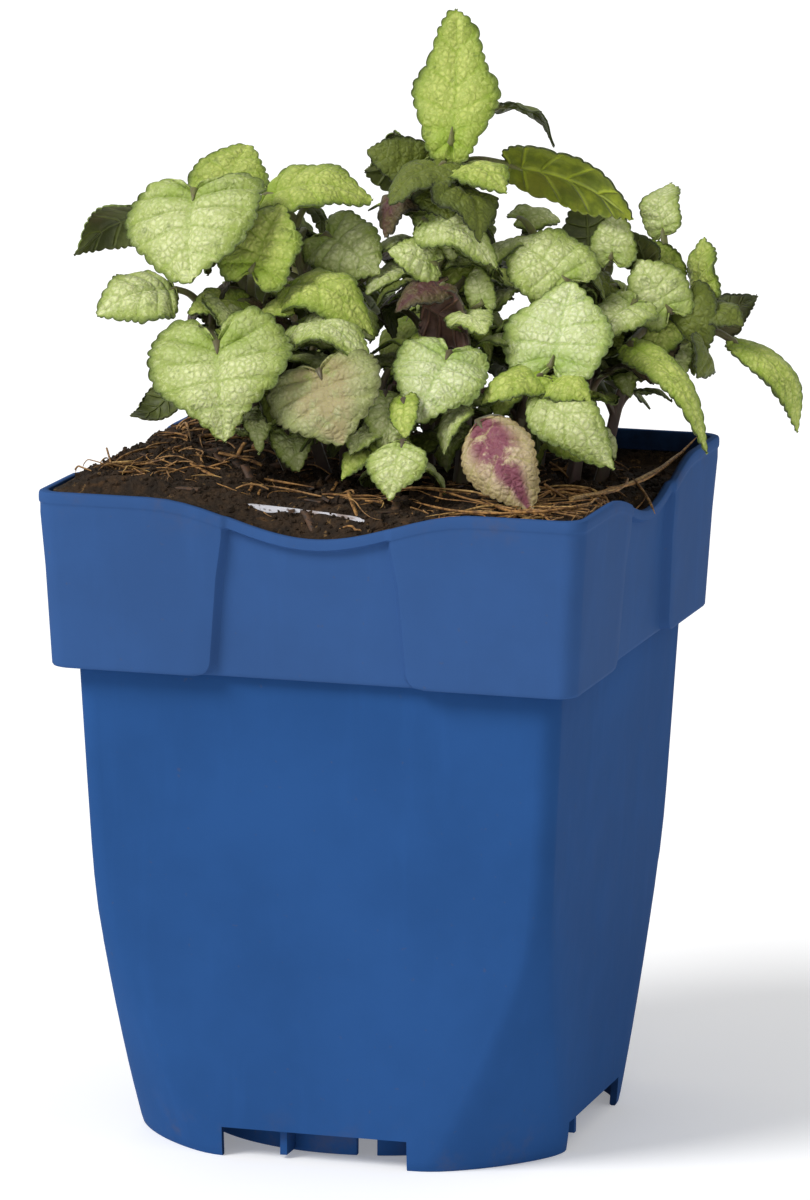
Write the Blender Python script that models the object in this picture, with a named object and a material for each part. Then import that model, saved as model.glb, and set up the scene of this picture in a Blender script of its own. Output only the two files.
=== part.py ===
"""A potted dead nettle: a square plastic nursery pot full of soil, with leafy shoots growing from it.

Every length is in millimetres until a mesh is made. The origin is the middle of the pot's underside,
+Z is up, and the side of the pot that carries the label faces -Y.
"""

import math

import bpy
from mathutils import Matrix, Vector

MM = 0.001
GAP = 0.35  # left between pieces that touch

# The pot: half widths are measured from the pot's axis to the middle of a side.
POT_HEIGHT = 133.0
RIM_HALF = 55.0
COLLAR_DEPTH = 35.0
COLLAR_LOW_HALF = 53.2
BODY_TOP_HALF = 49.0
BODY_LOW_HALF = 44.2
WALL = 1.4
CORNER_RADIUS = 4.0
SHOULDER_Z = POT_HEIGHT - COLLAR_DEPTH
CONE_RADIUS = 49.3  # the cone that rounds the body's corners off, at the underside
CONE_SLOPE = 0.33
CONE_BEND = 0.0006
NO_CONE = 1000.0

# The set-back panel in the middle of each side of the collar, and the dip of the rim above it.
PANEL_TOP_HALF = 16.5
PANEL_FLARE = 3.0
PANEL_CORNER = 3.0
PANEL_DEPTH = 2.0
LIP_DEPTH = 0.7
LIP_HEIGHT = 2.2
SCALLOP_DEPTH = 6.5
SCALLOP_HALF = 33.0
SCALLOP_CENTRE = 1.0

# The underside: a raised floor, a foot ring under it, a pad in the middle and a notch in each side.
FLOOR_UNDER_Z = 7.0
FLOOR_Z = 8.5
FOOT_RING_RADIUS = 37.4
FOOT_RING_LIFT = 0.4
FOOT_SLOT_AT = 7.6
FOOT_SLOT_WIDTH = 4.0
PAD_RADIUS = 9.0
NOTCH_WIDTH = 38.0
NOTCH_AT = -1.0
NOTCH_HEIGHT = 6.0
RIB_AT = -7.8
RIB_THICK = 1.4
DRAIN_RADIUS = 3.5
DRAIN_RING = 24.0
DRAIN_COUNT = 8

# The soil.
SOIL_LEVEL = 130.5
SOIL_BELOW_RIM = 2.2
SOIL_EDGE = 8.0
SOIL_GAP = 0.8
DEEP_SOIL_GAP = 1.6  # wider, for the pot's walls twist as their corners are rounded off
SOIL_SAG = 5.0

# The plant label, a bare strip of sheet plastic pushed down behind the front rim.
LABEL_X = (-16.0, 9.3)
LABEL_Y = -46.0
LABEL_TOP = 131.2
LABEL_LENGTH = 46.0
LABEL_POINT = 8.0
LABEL_THICK = 0.7

# Shoots and leaves.
STEM_FOOT = 1.15  # half the width of a square stem where it leaves the soil
STEM_TIP = 0.8
STALK_HALF = 0.55  # half the width of a leaf stalk
STALK_THICK = 1.0
BLADE_THICK = 0.6

POT_BLUE = (0.045, 0.115, 0.33)
SOIL_BROWN = (0.035, 0.022, 0.015)
LABEL_WHITE = (0.8, 0.8, 0.78)
STRAW = (0.45, 0.33, 0.12)
STEM_COLOUR = (0.12, 0.07, 0.05)
LEAF_GREEN = (0.5, 0.6, 0.25)


def smoothstep(low, high, value):
    t = min(max((value - low) / (high - low), 0.0), 1.0)
    return t * t * (3.0 - 2.0 * t)


# ---------------------------------------------------------------- objects and meshes


def material(name, colour, roughness):
    made = bpy.data.materials.new(name)
    made.use_nodes = True
    made.diffuse_color = (*colour, 1.0)
    shader = made.node_tree.nodes["Principled BSDF"]
    shader.inputs["Base Color"].default_value = (*colour, 1.0)
    shader.inputs["Roughness"].default_value = roughness
    shader.inputs["Metallic"].default_value = 0.0
    return made


def add_object(name, points, faces, finish=None):
    mesh = bpy.data.meshes.new(name)
    mesh.from_pydata([Vector(p) * MM for p in points], [], faces)
    mesh.update()
    made = bpy.data.objects.new(name, mesh)
    bpy.context.scene.collection.objects.link(made)
    if finish:
        mesh.materials.append(finish)
    return made


def add_helper(name, points, faces):
    """A shape that only serves a Boolean: it isn't a piece of the object."""
    made = add_object(name, points, faces)
    made.hide_render = True
    made.display_type = "WIRE"
    return made


def boolean(target, other, operation):
    modifier = target.modifiers.new(f"{operation.lower()} {other.name}", "BOOLEAN")
    modifier.operation = operation
    modifier.solver = "EXACT"
    modifier.object = other


def prism(outline, low, high, turn=0):
    """Points and faces of an upright prism over a counter-clockwise outline, turned by quarter turns."""
    quarter = Matrix.Rotation(turn * math.pi / 2, 3, "Z")
    count = len(outline)
    points = [quarter @ Vector((x, y, z)) for z in (low, high) for x, y in outline]
    faces = [tuple(reversed(range(count))), tuple(range(count, 2 * count))]
    for i in range(count):
        j = (i + 1) % count
        faces.append((i, j, count + j, count + i))
    return points, faces


def rectangle(x0, x1, y0, y1):
    return [(x0, y0), (x1, y0), (x1, y1), (x0, y1)]


def circle(radius, count, centre=(0.0, 0.0)):
    steps = [2 * math.pi * i / count for i in range(count)]
    return [(centre[0] + radius * math.cos(t), centre[1] + radius * math.sin(t)) for t in steps]


def stack(rings):
    """Faces over equal closed rings, each counter-clockwise, with the first and last one capped."""
    count = len(rings[0])
    points = [p for one in rings for p in one]
    faces = [tuple(reversed(range(count)))]
    for level in range(len(rings) - 1):
        low = level * count
        for i in range(count):
            j = (i + 1) % count
            faces.append((low + i, low + j, low + count + j, low + count + i))
    last = (len(rings) - 1) * count
    faces.append(tuple(range(last, last + count)))
    return points, faces


# ---------------------------------------------------------------- the pot


def body_half(z):
    return BODY_LOW_HALF + (BODY_TOP_HALF - BODY_LOW_HALF) * z / SHOULDER_Z


def collar_half(z):
    return COLLAR_LOW_HALF + (RIM_HALF - COLLAR_LOW_HALF) * (z - SHOULDER_Z) / COLLAR_DEPTH


def cone_radius(z):
    return CONE_RADIUS + CONE_SLOPE * z - CONE_BEND * z * z


def panel_half(z):
    """Half the width of the set-back panel: it flares downwards and its lower corners are round."""
    half = PANEL_TOP_HALF + PANEL_FLARE * (POT_HEIGHT - z) / COLLAR_DEPTH
    up = min(max(z - SHOULDER_Z, 0.0), PANEL_CORNER)
    return half + PANEL_CORNER - math.sqrt(PANEL_CORNER**2 - (PANEL_CORNER - up) ** 2)


def rim_z(along):
    """Height of the rim at a place along a side, counted counter-clockwise from its middle."""
    reach = (along - SCALLOP_CENTRE) / SCALLOP_HALF
    if abs(reach) >= 1.0:
        return POT_HEIGHT
    return POT_HEIGHT - SCALLOP_DEPTH * (0.5 + 0.5 * math.cos(math.pi * reach))


def collar_stations(half, z):
    edge = panel_half(z)
    right = [8.0, edge - 0.7, edge + 0.7, 26.0, 35.0, half - CORNER_RADIUS]
    return [-a for a in reversed(right)] + [0.0] + right


def body_stations(half):
    right = [half * share for share in (0.17, 0.33, 0.5, 0.62, 0.77)] + [half - CORNER_RADIUS]
    return [-a for a in reversed(right)] + [0.0] + right


def ring(half, stations, limit=NO_CONE, inset=0.0, edge=0.0, height=None, z=0.0):
    """One ring round the pot. The middle of each side, within the edge, is set back by the inset."""
    points = []
    for side in range(4):
        quarter = Matrix.Rotation(side * math.pi / 2, 3, "Z")
        local = [(a, inset * (abs(a) < edge) - half, a) for a in stations]
        for step in (1, 2, 3):
            turn = math.radians(-90.0 + 22.5 * step)
            centre = half - CORNER_RADIUS
            x = centre + CORNER_RADIUS * math.cos(turn)
            y = -centre + CORNER_RADIUS * math.sin(turn)
            local.append((x, y, half))
        for x, y, along in local:
            shrink = min(1.0, limit / math.hypot(x, y))
            level = height(along) if height else z
            points.append(quarter @ Vector((x * shrink, y * shrink, level)))
    return points


def body_ring(z, offset=0.0, level=None):
    half = body_half(z) - offset
    return ring(half, body_stations(half), cone_radius(z) - offset, z=z if level is None else level)


def collar_ring(z, offset=0.0, inset=PANEL_DEPTH, below_rim=None):
    half = collar_half(z) - offset
    edge = panel_half(z)
    height = None if below_rim is None else lambda along: rim_z(along) - below_rim
    return ring(half, collar_stations(half, z), inset=inset, edge=edge, height=height, z=z)


def shoulder_ring(z, offset):
    """The body's ring with the collar's stations, so that the shoulder's faces don't twist."""
    half = BODY_TOP_HALF - offset
    return ring(half, collar_stations(half, SHOULDER_Z), z=z)


def round_ring(radius, z):
    """A circle of the same number of points as the pot's other rings, in the same directions."""
    return [Vector((p.x, p.y, 0.0)).normalized() * radius + Vector((0.0, 0.0, z)) for p in body_ring(0.0)]


def build_pot(finish):
    top = POT_HEIGHT
    inner_foot = FOOT_RING_RADIUS - WALL
    underside = [
        round_ring(PAD_RADIUS, 0.0),
        round_ring(PAD_RADIUS, FLOOR_UNDER_Z),
        round_ring(inner_foot, FLOOR_UNDER_Z),
        round_ring(inner_foot, FOOT_RING_LIFT),
        round_ring(FOOT_RING_RADIUS, FOOT_RING_LIFT),
        round_ring(FOOT_RING_RADIUS, FLOOR_UNDER_Z),
        body_ring(FLOOR_UNDER_Z, WALL),
        body_ring(0.0, WALL + 0.2),
    ]
    outside = [
        *[body_ring(z) for z in (0.0, 20.0, 40.0, 60.0)],
        shoulder_ring(SHOULDER_Z, 0.0),
        collar_ring(SHOULDER_Z, 0.4),
        *[collar_ring(SHOULDER_Z + up) for up in (0.6, PANEL_CORNER, 16.0)],
        collar_ring(top, below_rim=LIP_HEIGHT + 0.4),
        collar_ring(top, inset=LIP_DEPTH, below_rim=LIP_HEIGHT),
        collar_ring(top, inset=LIP_DEPTH, below_rim=0.3),
        collar_ring(top, 0.3, LIP_DEPTH, below_rim=0.0),
    ]
    inside = [
        collar_ring(top, WALL, LIP_DEPTH, below_rim=0.0),
        collar_ring(top, WALL, below_rim=LIP_HEIGHT + 0.4),
        *[collar_ring(SHOULDER_Z + up, WALL) for up in (16.0, WALL)],
        shoulder_ring(SHOULDER_Z + WALL, WALL),
        *[body_ring(z, WALL) for z in (60.0, 34.0, FLOOR_Z)],
    ]
    pot = add_object("pot", *stack(underside + outside + inside), finish)
    for turn in range(4):
        notch = rectangle(NOTCH_AT - NOTCH_WIDTH / 2, NOTCH_AT + NOTCH_WIDTH / 2, -50.0, -41.0)
        boolean(pot, add_helper(f"notch_{turn}", *prism(notch, -1.0, NOTCH_HEIGHT, turn)), "DIFFERENCE")
        slot = rectangle(FOOT_SLOT_AT - FOOT_SLOT_WIDTH / 2, FOOT_SLOT_AT + FOOT_SLOT_WIDTH / 2, -39.0, -34.0)
        boolean(pot, add_helper(f"foot_slot_{turn}", *prism(slot, -1.0, NOTCH_HEIGHT, turn)), "DIFFERENCE")
        rib = rectangle(RIB_AT - RIB_THICK / 2, RIB_AT + RIB_THICK / 2, -42.4, -36.4)
        boolean(pot, add_helper(f"rib_{turn}", *prism(rib, 0.8, FLOOR_UNDER_Z + 0.6, turn)), "UNION")
    for i in range(DRAIN_COUNT):
        turn = 2 * math.pi * (i + 0.5) / DRAIN_COUNT
        centre = (DRAIN_RING * math.cos(turn), DRAIN_RING * math.sin(turn))
        drain = prism(circle(DRAIN_RADIUS, 12, centre), FLOOR_UNDER_Z - 2.0, FLOOR_Z + 2.0)
        boolean(pot, add_helper(f"drain_{i}", *drain), "DIFFERENCE")


# ---------------------------------------------------------------- the soil and the label


def soil_z(x, y):
    """Height of the soil: level, slightly lumpy, sagging at the back right and falling to the rim's dips."""
    sag = SOIL_SAG * smoothstep(8.0, 48.0, x) * smoothstep(-25.0, 35.0, y)
    lumps = 0.5 * math.sin(0.21 * x + 0.6) * math.cos(0.17 * y) + 0.4 * math.sin(0.13 * (x + 2.0 * y))
    level = SOIL_LEVEL - sag + lumps
    side = RIM_HALF - PANEL_DEPTH - WALL
    if abs(y) >= abs(x):
        along = x if y < 0 else -x
    else:
        along = y if x > 0 else -y
    at_wall = min(level, rim_z(along) - SOIL_BELOW_RIM)
    inward = smoothstep(0.0, SOIL_EDGE, side - max(abs(x), abs(y)))
    return at_wall + (level - at_wall) * inward


def build_soil(finish):
    rings = [
        *[body_ring(z, WALL + DEEP_SOIL_GAP, z + GAP) for z in (FLOOR_Z, 34.0, 60.0)],
        shoulder_ring(SHOULDER_Z + WALL + GAP, WALL + SOIL_GAP),
        collar_ring(SHOULDER_Z + WALL, WALL + SOIL_GAP),
        collar_ring(SHOULDER_Z + 16.0, WALL + SOIL_GAP),
        collar_ring(POT_HEIGHT, WALL + SOIL_GAP, below_rim=LIP_HEIGHT + 2.0),
    ]
    for point in rings[4]:
        point.z += GAP
    for share in (0.97, 0.9, 0.68, 0.36):
        flat = [Vector((p.x * share, p.y * share, 0.0)) for p in rings[6]]
        rings.append([Vector((p.x, p.y, soil_z(p.x, p.y))) for p in flat])
    soil = add_object("soil", *stack(rings), finish)
    room = rectangle(LABEL_X[0] - 0.6, LABEL_X[1] + 0.6, LABEL_Y - 0.75, LABEL_Y + 0.75)
    slot = prism(room, LABEL_TOP - LABEL_LENGTH - 0.6, POT_HEIGHT + 10.0)
    boolean(soil, add_helper("label_slot", *slot), "DIFFERENCE")


def build_label(finish):
    left, right = LABEL_X
    foot = LABEL_TOP - LABEL_LENGTH
    shape = [(left, foot + LABEL_POINT), ((left + right) / 2, foot), (right, foot + LABEL_POINT)]
    shape += [(right, LABEL_TOP - 0.3), (right - 0.4, LABEL_TOP), (left + 0.4, LABEL_TOP + 0.2), (left, LABEL_TOP)]
    front = [Vector((x, LABEL_Y - LABEL_THICK / 2, z)) for x, z in shape]
    back = [p + Vector((0.0, LABEL_THICK, 0.0)) for p in front]
    add_object("plant_label", *stack([back, front]), finish)


# ---------------------------------------------------------------- shoots and leaves

# Each shoot is a route from its foot in the soil to its tip.
SHOOTS = {
    "stem_top": [(7, 6, 131), (7, 5, 149), (6, 6, 165), (6, 7, 180), (9, 8, 193)],
    "stem_left_high": [(-10, -5, 131), (-18, -7, 152), (-25, -9, 165), (-30, -9, 174), (-31, -9, 182)],
    "stem_left_low": [(-14, -12, 131), (-22, -16, 146), (-29, -17, 156), (-35, -12, 165)],
    "stem_mid": [(-7, -2, 131), (-10, -1, 149), (-14, -1, 161), (-18, 0, 172), (-21, 1, 182)],
    "stem_front": [(8, -21, 131), (7, -19, 140), (4, -16, 147), (-2, -15, 153)],
    "stem_centre": [(16, -4, 131), (17, -3, 145), (15, -2, 156), (11, 0, 166), (8, 2, 178)],
    "stem_right_front": [(31, -8, 131), (29, -6, 146), (30, -2, 155), (33, 5, 165), (27, 11, 178)],
    "stem_right_back": [(33, 18, 130), (36, 21, 146), (38, 20, 159), (37, 20, 171)],
    "stem_far": [(37, 26, 130), (41, 27, 145), (47, 24, 154), (52, 22, 159), (58, 22, 159)],
    "back_left_shoot": [(-20, 19, 131), (-25, 27, 149), (-28, 32, 163)],
    "back_mid_shoot": [(3, 22, 131), (2, 30, 152), (4, 33, 167)],
    "back_right_shoot": [(22, 31, 131), (25, 37, 148), (29, 39, 160)],
}

# Each leaf: its shoot, its blade from stalk to tip, its width, the way its upper side looks, how far its
# midrib arches up (as a share of its length) and how steeply its two halves fall away from the midrib.
LEAVES = {
    "leaf_top_upright": ("stem_top", (12, 3, 197), (10, 13, 222), 20, (0, -1, 0.5), -0.03, 0.1),
    "leaf_top_left": ("stem_top", (4, 13, 190), (-8, 15, 190), 17, (0, 1, 0.3), 0.08, 0.2),
    "leaf_top_right": ("stem_top", (21, 12, 192), (48, 9, 183), 16, (0, 1, 0.9), 0.1, 0.1),
    "leaf_top_edge": ("stem_top", (18, 17, 203), (29, 22, 197), 12, (0.2, 0.3, 1), 0.15, 0.1),
    "leaf_top_front": ("stem_top", (12, 1, 190), (23, -8, 183), 15, (0, 0.2, 1), 0.08, 0.2),
    "leaf_left_crown": ("stem_left_high", (-35, -17, 188), (-33, -28, 172), 24, (-0.3, -1, 0.5), 0.08, 0.15),
    "leaf_left_back": ("stem_left_high", (-35, -1, 184), (-32, 8, 195), 16, (0, -1, 0.7), 0.05, 0.1),
    "leaf_left_tip": ("stem_left_high", (-46, -8, 182), (-63, -7, 175), 15, (0, 1, 0.9), 0.08, 0.2),
    "leaf_left_upright": ("stem_left_high", (-22, -20, 173), (-18, -14, 186), 16, (0, -1, 0.6), 0.04, 0.1),
    "leaf_left_low": ("stem_left_low", (-39, -16, 168), (-52, -26, 165), 18, (-0.3, -1, 1), 0.12, 0.2),
    "leaf_left_front": ("stem_left_low", (-26, -30, 160), (-22, -39, 143), 27, (0.1, -1, 0.5), 0.08, 0.12),
    "leaf_left_old": ("stem_left_low", (-42, -7, 147), (-49, -12, 140), 8, (0.2, 1, -0.3), 0.2, 0.3),
    "leaf_mid_top": ("stem_mid", (-24, -5, 186), (-3, -5, 189), 16, (0, -0.7, 1), 0.1, 0.12),
    "leaf_mid_upper": ("stem_mid", (-13, 1, 178), (-1, -4, 172), 14, (0.2, -1, 0.6), 0.08, 0.15),
    "leaf_mid_arch": ("stem_mid", (-17, -13, 169), (2, -19, 165), 14, (0, -0.6, 1), 0.2, 0.25),
    "leaf_mid_saddle": ("stem_mid", (-14, -17, 162), (3, -25, 160), 13, (0, -0.6, 1), 0.18, 0.25),
    "leaf_front_brown": ("stem_front", (-6, -27, 155), (0, -33, 142), 22, (-0.2, -1, 0.4), 0.06, 0.12),
    "leaf_front_small": ("stem_front", (13, -33, 143), (12, -40, 133), 13, (0, -1, 0.5), 0.08, 0.15),
    "leaf_centre_pale": ("stem_centre", (17, -15, 158), (14, -27, 147), 18, (0.1, -1, 0.5), 0.08, 0.15),
    "leaf_centre_sliver": ("stem_centre", (21, -17, 149), (18, -26, 141), 8, (-0.5, -1, 0.2), 0.06, 0.15),
    "leaf_centre_arch": ("stem_centre", (8, -2, 182), (24, -7, 177), 13, (0, -0.6, 1), 0.14, 0.2),
    "leaf_centre_purple": ("stem_centre", (9, -6, 166), (22, -9, 158), 14, (0, 1, 0.4), 0.1, 0.2),
    "leaf_right_big": ("stem_right_front", (37, -12, 156), (38, -3, 172), 21, (0, -1, 0.6), 0.03, 0.08),
    "leaf_right_upper": ("stem_right_front", (37, 0, 171), (24, 4, 179), 16, (-0.1, -1, 0.8), 0.08, 0.15),
    "leaf_right_low": ("stem_right_front", (34, -15, 151), (52, -23, 141), 16, (0.2, -1, 0.8), 0.08, 0.2),
    "leaf_right_inner": ("stem_right_front", (37, -5, 146), (46, -9, 137), 12, (0, -1, 0.5), 0.08, 0.15),
    "leaf_front_pink": ("stem_right_front", (27, -29, 147), (40, -38, 132), 18, (0.2, -1, 0.4), 0.1, 0.15),
    "leaf_right_nook": ("stem_right_back", (42, 14, 174), (42, 17, 183), 9, (0, -1, 0.5), 0.05, 0.15),
    "leaf_right_dark": ("stem_right_back", (35, 23, 174), (33, 27, 184), 10, (0, 1, 0), 0.05, 0.2),
    "leaf_right_mid": ("stem_right_back", (48, 10, 166), (42, 1, 160), 12, (0, -1, 1), 0.1, 0.15),
    "leaf_far_top": ("stem_far", (49, 28, 177), (46, 32, 188), 11, (-0.3, -1, 0.4), 0.05, 0.2),
    "leaf_far_small": ("stem_far", (48, 20, 170), (45, 18, 180), 9, (0.3, 1, 0), 0.08, 0.25),
    "leaf_far_pale": ("stem_far", (54, 14, 164), (47, 15, 174), 12, (0.2, -1, 0.6), 0.06, 0.15),
    "leaf_far_tall": ("stem_far", (59, 23, 165), (57, 28, 180), 11, (-1, -0.7, 0.2), 0.04, 0.2),
    "leaf_far_dark": ("stem_far", (57, 33, 158), (66, 36, 165), 12, (0, 1, 0.4), 0.05, 0.2),
    "leaf_far_under": ("stem_far", (60, 15, 158), (64, 8, 153), 11, (0.6, 0.6, 0.6), 0.08, 0.2),
    "leaf_far_droop": ("stem_far", (65, 23, 157), (80, 24, 141), 14, (0.3, -0.5, 1), 0.2, 0.3),
    "leaf_far_near": ("stem_far", (48, 6, 158), (67, -2, 141), 16, (0.2, -0.6, 1), 0.18, 0.3),
}

# Small side leaves, and the leaves of the shoots at the back, are one piece with their shoot.
SIDE_LEAVES = {
    "stem_left_high": [((-29, -12, 185), (-29, -17, 179), 6, (0, -1, 0.5), 0.05, 0.15)],
    "stem_mid": [((2, 3, 172), (-3, -5, 168), 7, (0, -0.6, 1), 0.1, 0.15)],
    "stem_front": [
        ((5, -23, 146), (1, -30, 140), 8, (-0.2, -1, 0.5), 0.06, 0.15),
        ((11, -26, 150), (13, -32, 144), 6, (0, -1, 0.4), 0.06, 0.15),
    ],
    "stem_centre": [
        ((15, 3, 170), (9, 6, 174), 7, (0, -1, 0.8), 0.06, 0.15),
        ((20, -2, 166), (17, 2, 173), 6, (0, -1, 0.5), 0.06, 0.15),
    ],
    "stem_right_front": [((23, 14, 181), (30, 20, 181), 8, (0, -0.8, 1), 0.1, 0.15)],
    "stem_right_back": [((42, 16, 168), (34, 12, 172), 8, (0, -0.4, 1), 0.1, 0.2)],
    "back_left_shoot": [
        ((-33, 36, 163), (-47, 45, 157), 17, (-0.3, 0.6, 1), 0.12, 0.15),
        ((-22, 39, 163), (-14, 51, 154), 17, (0.2, 0.8, 1), 0.12, 0.15),
        ((-30, 32, 167), (-35, 27, 179), 14, (-0.4, 0.8, 0.5), 0.05, 0.15),
        ((-29, 26, 148), (-44, 28, 142), 15, (-0.4, 0.3, 1), 0.12, 0.15),
        ((-22, 33, 148), (-24, 48, 141), 16, (0, 0.8, 1), 0.12, 0.15),
    ],
    "back_mid_shoot": [
        ((-1, 37, 169), (-10, 47, 163), 17, (-0.3, 0.8, 1), 0.12, 0.15),
        ((9, 38, 169), (17, 49, 162), 18, (0.3, 0.8, 1), 0.12, 0.15),
        ((4, 34, 172), (6, 31, 185), 16, (0, 1, 0.4), 0.05, 0.15),
        ((-1, 35, 151), (-8, 50, 144), 17, (-0.2, 0.8, 1), 0.12, 0.15),
        ((6, 35, 150), (14, 50, 143), 17, (0.2, 0.8, 1), 0.12, 0.15),
    ],
    "back_right_shoot": [
        ((27, 44, 162), (20, 56, 154), 15, (-0.1, 0.9, 1), 0.12, 0.15),
        ((34, 42, 162), (47, 50, 155), 17, (0.4, 0.6, 1), 0.12, 0.15),
        ((29, 41, 166), (29, 38, 178), 14, (0.2, 1, 0.4), 0.05, 0.15),
        ((28, 41, 147), (32, 55, 141), 15, (0.2, 0.9, 1), 0.12, 0.15),
        ((31, 35, 147), (45, 37, 142), 14, (0.5, 0.2, 1), 0.12, 0.15),
    ],
}

# A blade's outline from stalk to tip: midrib station, then the edge's place along and across, as shares
# of the blade's length and width. The first edge point is a lobe that reaches back past the stalk.
BLADE_ROWS = ((0.1, -0.14, 0.34), (0.34, 0.14, 0.5), (0.64, 0.52, 0.4), (0.86, 0.82, 0.18))

STRAW_ROUTE = [(45, -26, 132.3), (47, -2, 130.3), (48.5, 24, 129.6), (49, 46, 130.2)]
STRAW_HALF = 0.8


def smooth_route(points, per_span):
    """Catmull-Rom points through a route, the same number in each span."""
    knots = [Vector(p) for p in points]
    knots = [2 * knots[0] - knots[1]] + knots + [2 * knots[-1] - knots[-2]]
    route = []
    for a, b, c, d in zip(knots, knots[1:], knots[2:], knots[3:]):
        for i in range(per_span):
            t = i / per_span
            route.append(
                0.5 * (2 * b + (c - a) * t + (2 * a - 5 * b + 4 * c - d) * t**2 + (3 * b - a - 3 * c + d) * t**3)
            )
    return route + [knots[-2]]


def square_tube(route, foot, tip):
    """A square stem along a route, tapering from one half width to the other."""
    rings = []
    side = Vector((1.0, 0.0, 0.0))
    for i, point in enumerate(route):
        ahead = (route[min(i + 1, len(route) - 1)] - route[max(i - 1, 0)]).normalized()
        side = (side - side.dot(ahead) * ahead).normalized()
        other = ahead.cross(side)
        half = foot + (tip - foot) * i / (len(route) - 1)
        corners = ((-1, -1), (1, -1), (1, 1), (-1, 1))
        rings.append([point + half * (a * side + b * other) for a, b in corners])
    return stack(rings)


def stem_route(name):
    points = [Vector(p) for p in SHOOTS[name]]
    foot = points[0]
    foot.z = soil_z(foot.x, foot.y) + 1.4
    return smooth_route(points, 2)


def stalk_start(route, base, clearance):
    """Where a leaf's stalk leaves its shoot: a little lower than the blade, on the side towards it."""
    aim = Vector(base) - Vector((0.0, 0.0, 5.0))
    near = min(route[1:], key=lambda p: (p - aim).length)
    outward = Vector(base) - near
    return near + outward.normalized() * clearance


def leaf_solid(start, blade):
    """A stalk and a thin blade as one closed solid, three points wide."""
    base, tip, width, facing, arch, fall = blade
    base, tip = Vector(base), Vector(tip)
    length = (tip - base).length
    along = (tip - base).normalized()
    up = Vector(facing)
    up = (up - up.dot(along) * along).normalized()
    across = up.cross(along)

    def place(x, y):
        lift = 4.0 * arch * length * max(x, 0.0) * (1.0 - max(x, 0.0))
        return base + along * x * length + across * y * width + up * (lift - fall * abs(y) * width)

    rows = []
    bow = (start + base) / 2 + Vector((0.0, 0.0, 0.1 * (base - start).length))
    for point, ahead in ((start, bow - start), (bow, base - start)):
        ahead = ahead.normalized()
        side = (across - across.dot(ahead) * ahead).normalized()
        rows.append([(point + s * STALK_HALF * side, ahead.cross(side), STALK_THICK) for s in (1, 0, -1)])
    rows.append([(base + s * STALK_HALF * across, up, STALK_THICK) for s in (1, 0, -1)])
    for middle, edge_x, edge_y in BLADE_ROWS:
        places = (place(edge_x, edge_y), place(middle, 0.0), place(edge_x, -edge_y))
        rows.append([(p, up, BLADE_THICK) for p in places])
    rows.append([(place(1.0, s * 0.02), up, BLADE_THICK) for s in (1, 0, -1)])
    rings = []
    for row in rows:
        over = [p + normal * thick / 2 for p, normal, thick in row]
        under = [p - normal * thick / 2 for p, normal, thick in reversed(row)]
        rings.append(over + under)
    return stack(rings)


def build_plant(stem_finish, leaf_finish):
    routes = {name: stem_route(name) for name in SHOOTS}
    for name, route in routes.items():
        stem = add_object(name, *square_tube(route, STEM_FOOT, STEM_TIP), stem_finish)
        for number, blade in enumerate(SIDE_LEAVES.get(name, [])):
            start = stalk_start(route, blade[0], 0.0)
            side_leaf = add_helper(f"{name}_leaf_{number}", *leaf_solid(start, blade))
            boolean(stem, side_leaf, "UNION")
    for name, (shoot, *blade) in LEAVES.items():
        start = stalk_start(routes[shoot], blade[0], STEM_FOOT * math.sqrt(2.0) + GAP)
        add_object(name, *leaf_solid(start, blade), leaf_finish)


def main():
    for old in list(bpy.data.objects):
        bpy.data.objects.remove(old, do_unlink=True)
    build_pot(material("pot plastic", POT_BLUE, 0.55))
    build_soil(material("soil", SOIL_BROWN, 0.95))
    build_label(material("label plastic", LABEL_WHITE, 0.5))
    build_plant(material("stem", STEM_COLOUR, 0.6), material("leaf", LEAF_GREEN, 0.6))
    straw = square_tube(smooth_route(STRAW_ROUTE, 3), STRAW_HALF, STRAW_HALF * 0.7)
    add_object("dry_stalk", *straw, material("straw", STRAW, 0.8))


main()
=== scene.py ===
"""A potted dead nettle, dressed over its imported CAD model.

The file is laid out as a Blender add-on: settings, one operator for each piece or group of like pieces,
and a sidebar panel that lists them. Run as a script, it makes every piece in order.
"""

import math

import bmesh
import bpy
import numpy as np
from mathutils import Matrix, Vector, noise


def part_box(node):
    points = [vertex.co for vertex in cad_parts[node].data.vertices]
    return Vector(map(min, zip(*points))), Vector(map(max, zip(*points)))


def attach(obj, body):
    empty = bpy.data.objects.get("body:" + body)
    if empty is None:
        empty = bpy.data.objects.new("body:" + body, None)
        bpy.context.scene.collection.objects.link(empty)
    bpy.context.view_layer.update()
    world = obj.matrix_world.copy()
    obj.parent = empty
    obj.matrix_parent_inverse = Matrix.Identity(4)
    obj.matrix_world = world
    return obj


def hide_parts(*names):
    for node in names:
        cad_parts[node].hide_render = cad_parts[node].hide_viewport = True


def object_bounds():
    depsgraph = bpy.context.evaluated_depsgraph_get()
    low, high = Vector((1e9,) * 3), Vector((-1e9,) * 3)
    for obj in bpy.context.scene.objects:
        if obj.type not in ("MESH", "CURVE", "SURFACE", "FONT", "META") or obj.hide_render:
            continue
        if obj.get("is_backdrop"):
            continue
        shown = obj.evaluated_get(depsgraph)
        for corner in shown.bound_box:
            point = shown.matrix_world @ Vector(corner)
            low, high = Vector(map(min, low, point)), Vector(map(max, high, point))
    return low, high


bl_info = {
    "name": "Potted Dead Nettle",
    "version": (1, 0, 0),
    "blender": (4, 5, 0),
    "location": "View3D > Sidebar > Nettle",
    "description": "Makes a potted dead nettle: pot, soil, label, shoots, leaves and studio",
    "category": "Object",
}

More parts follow.
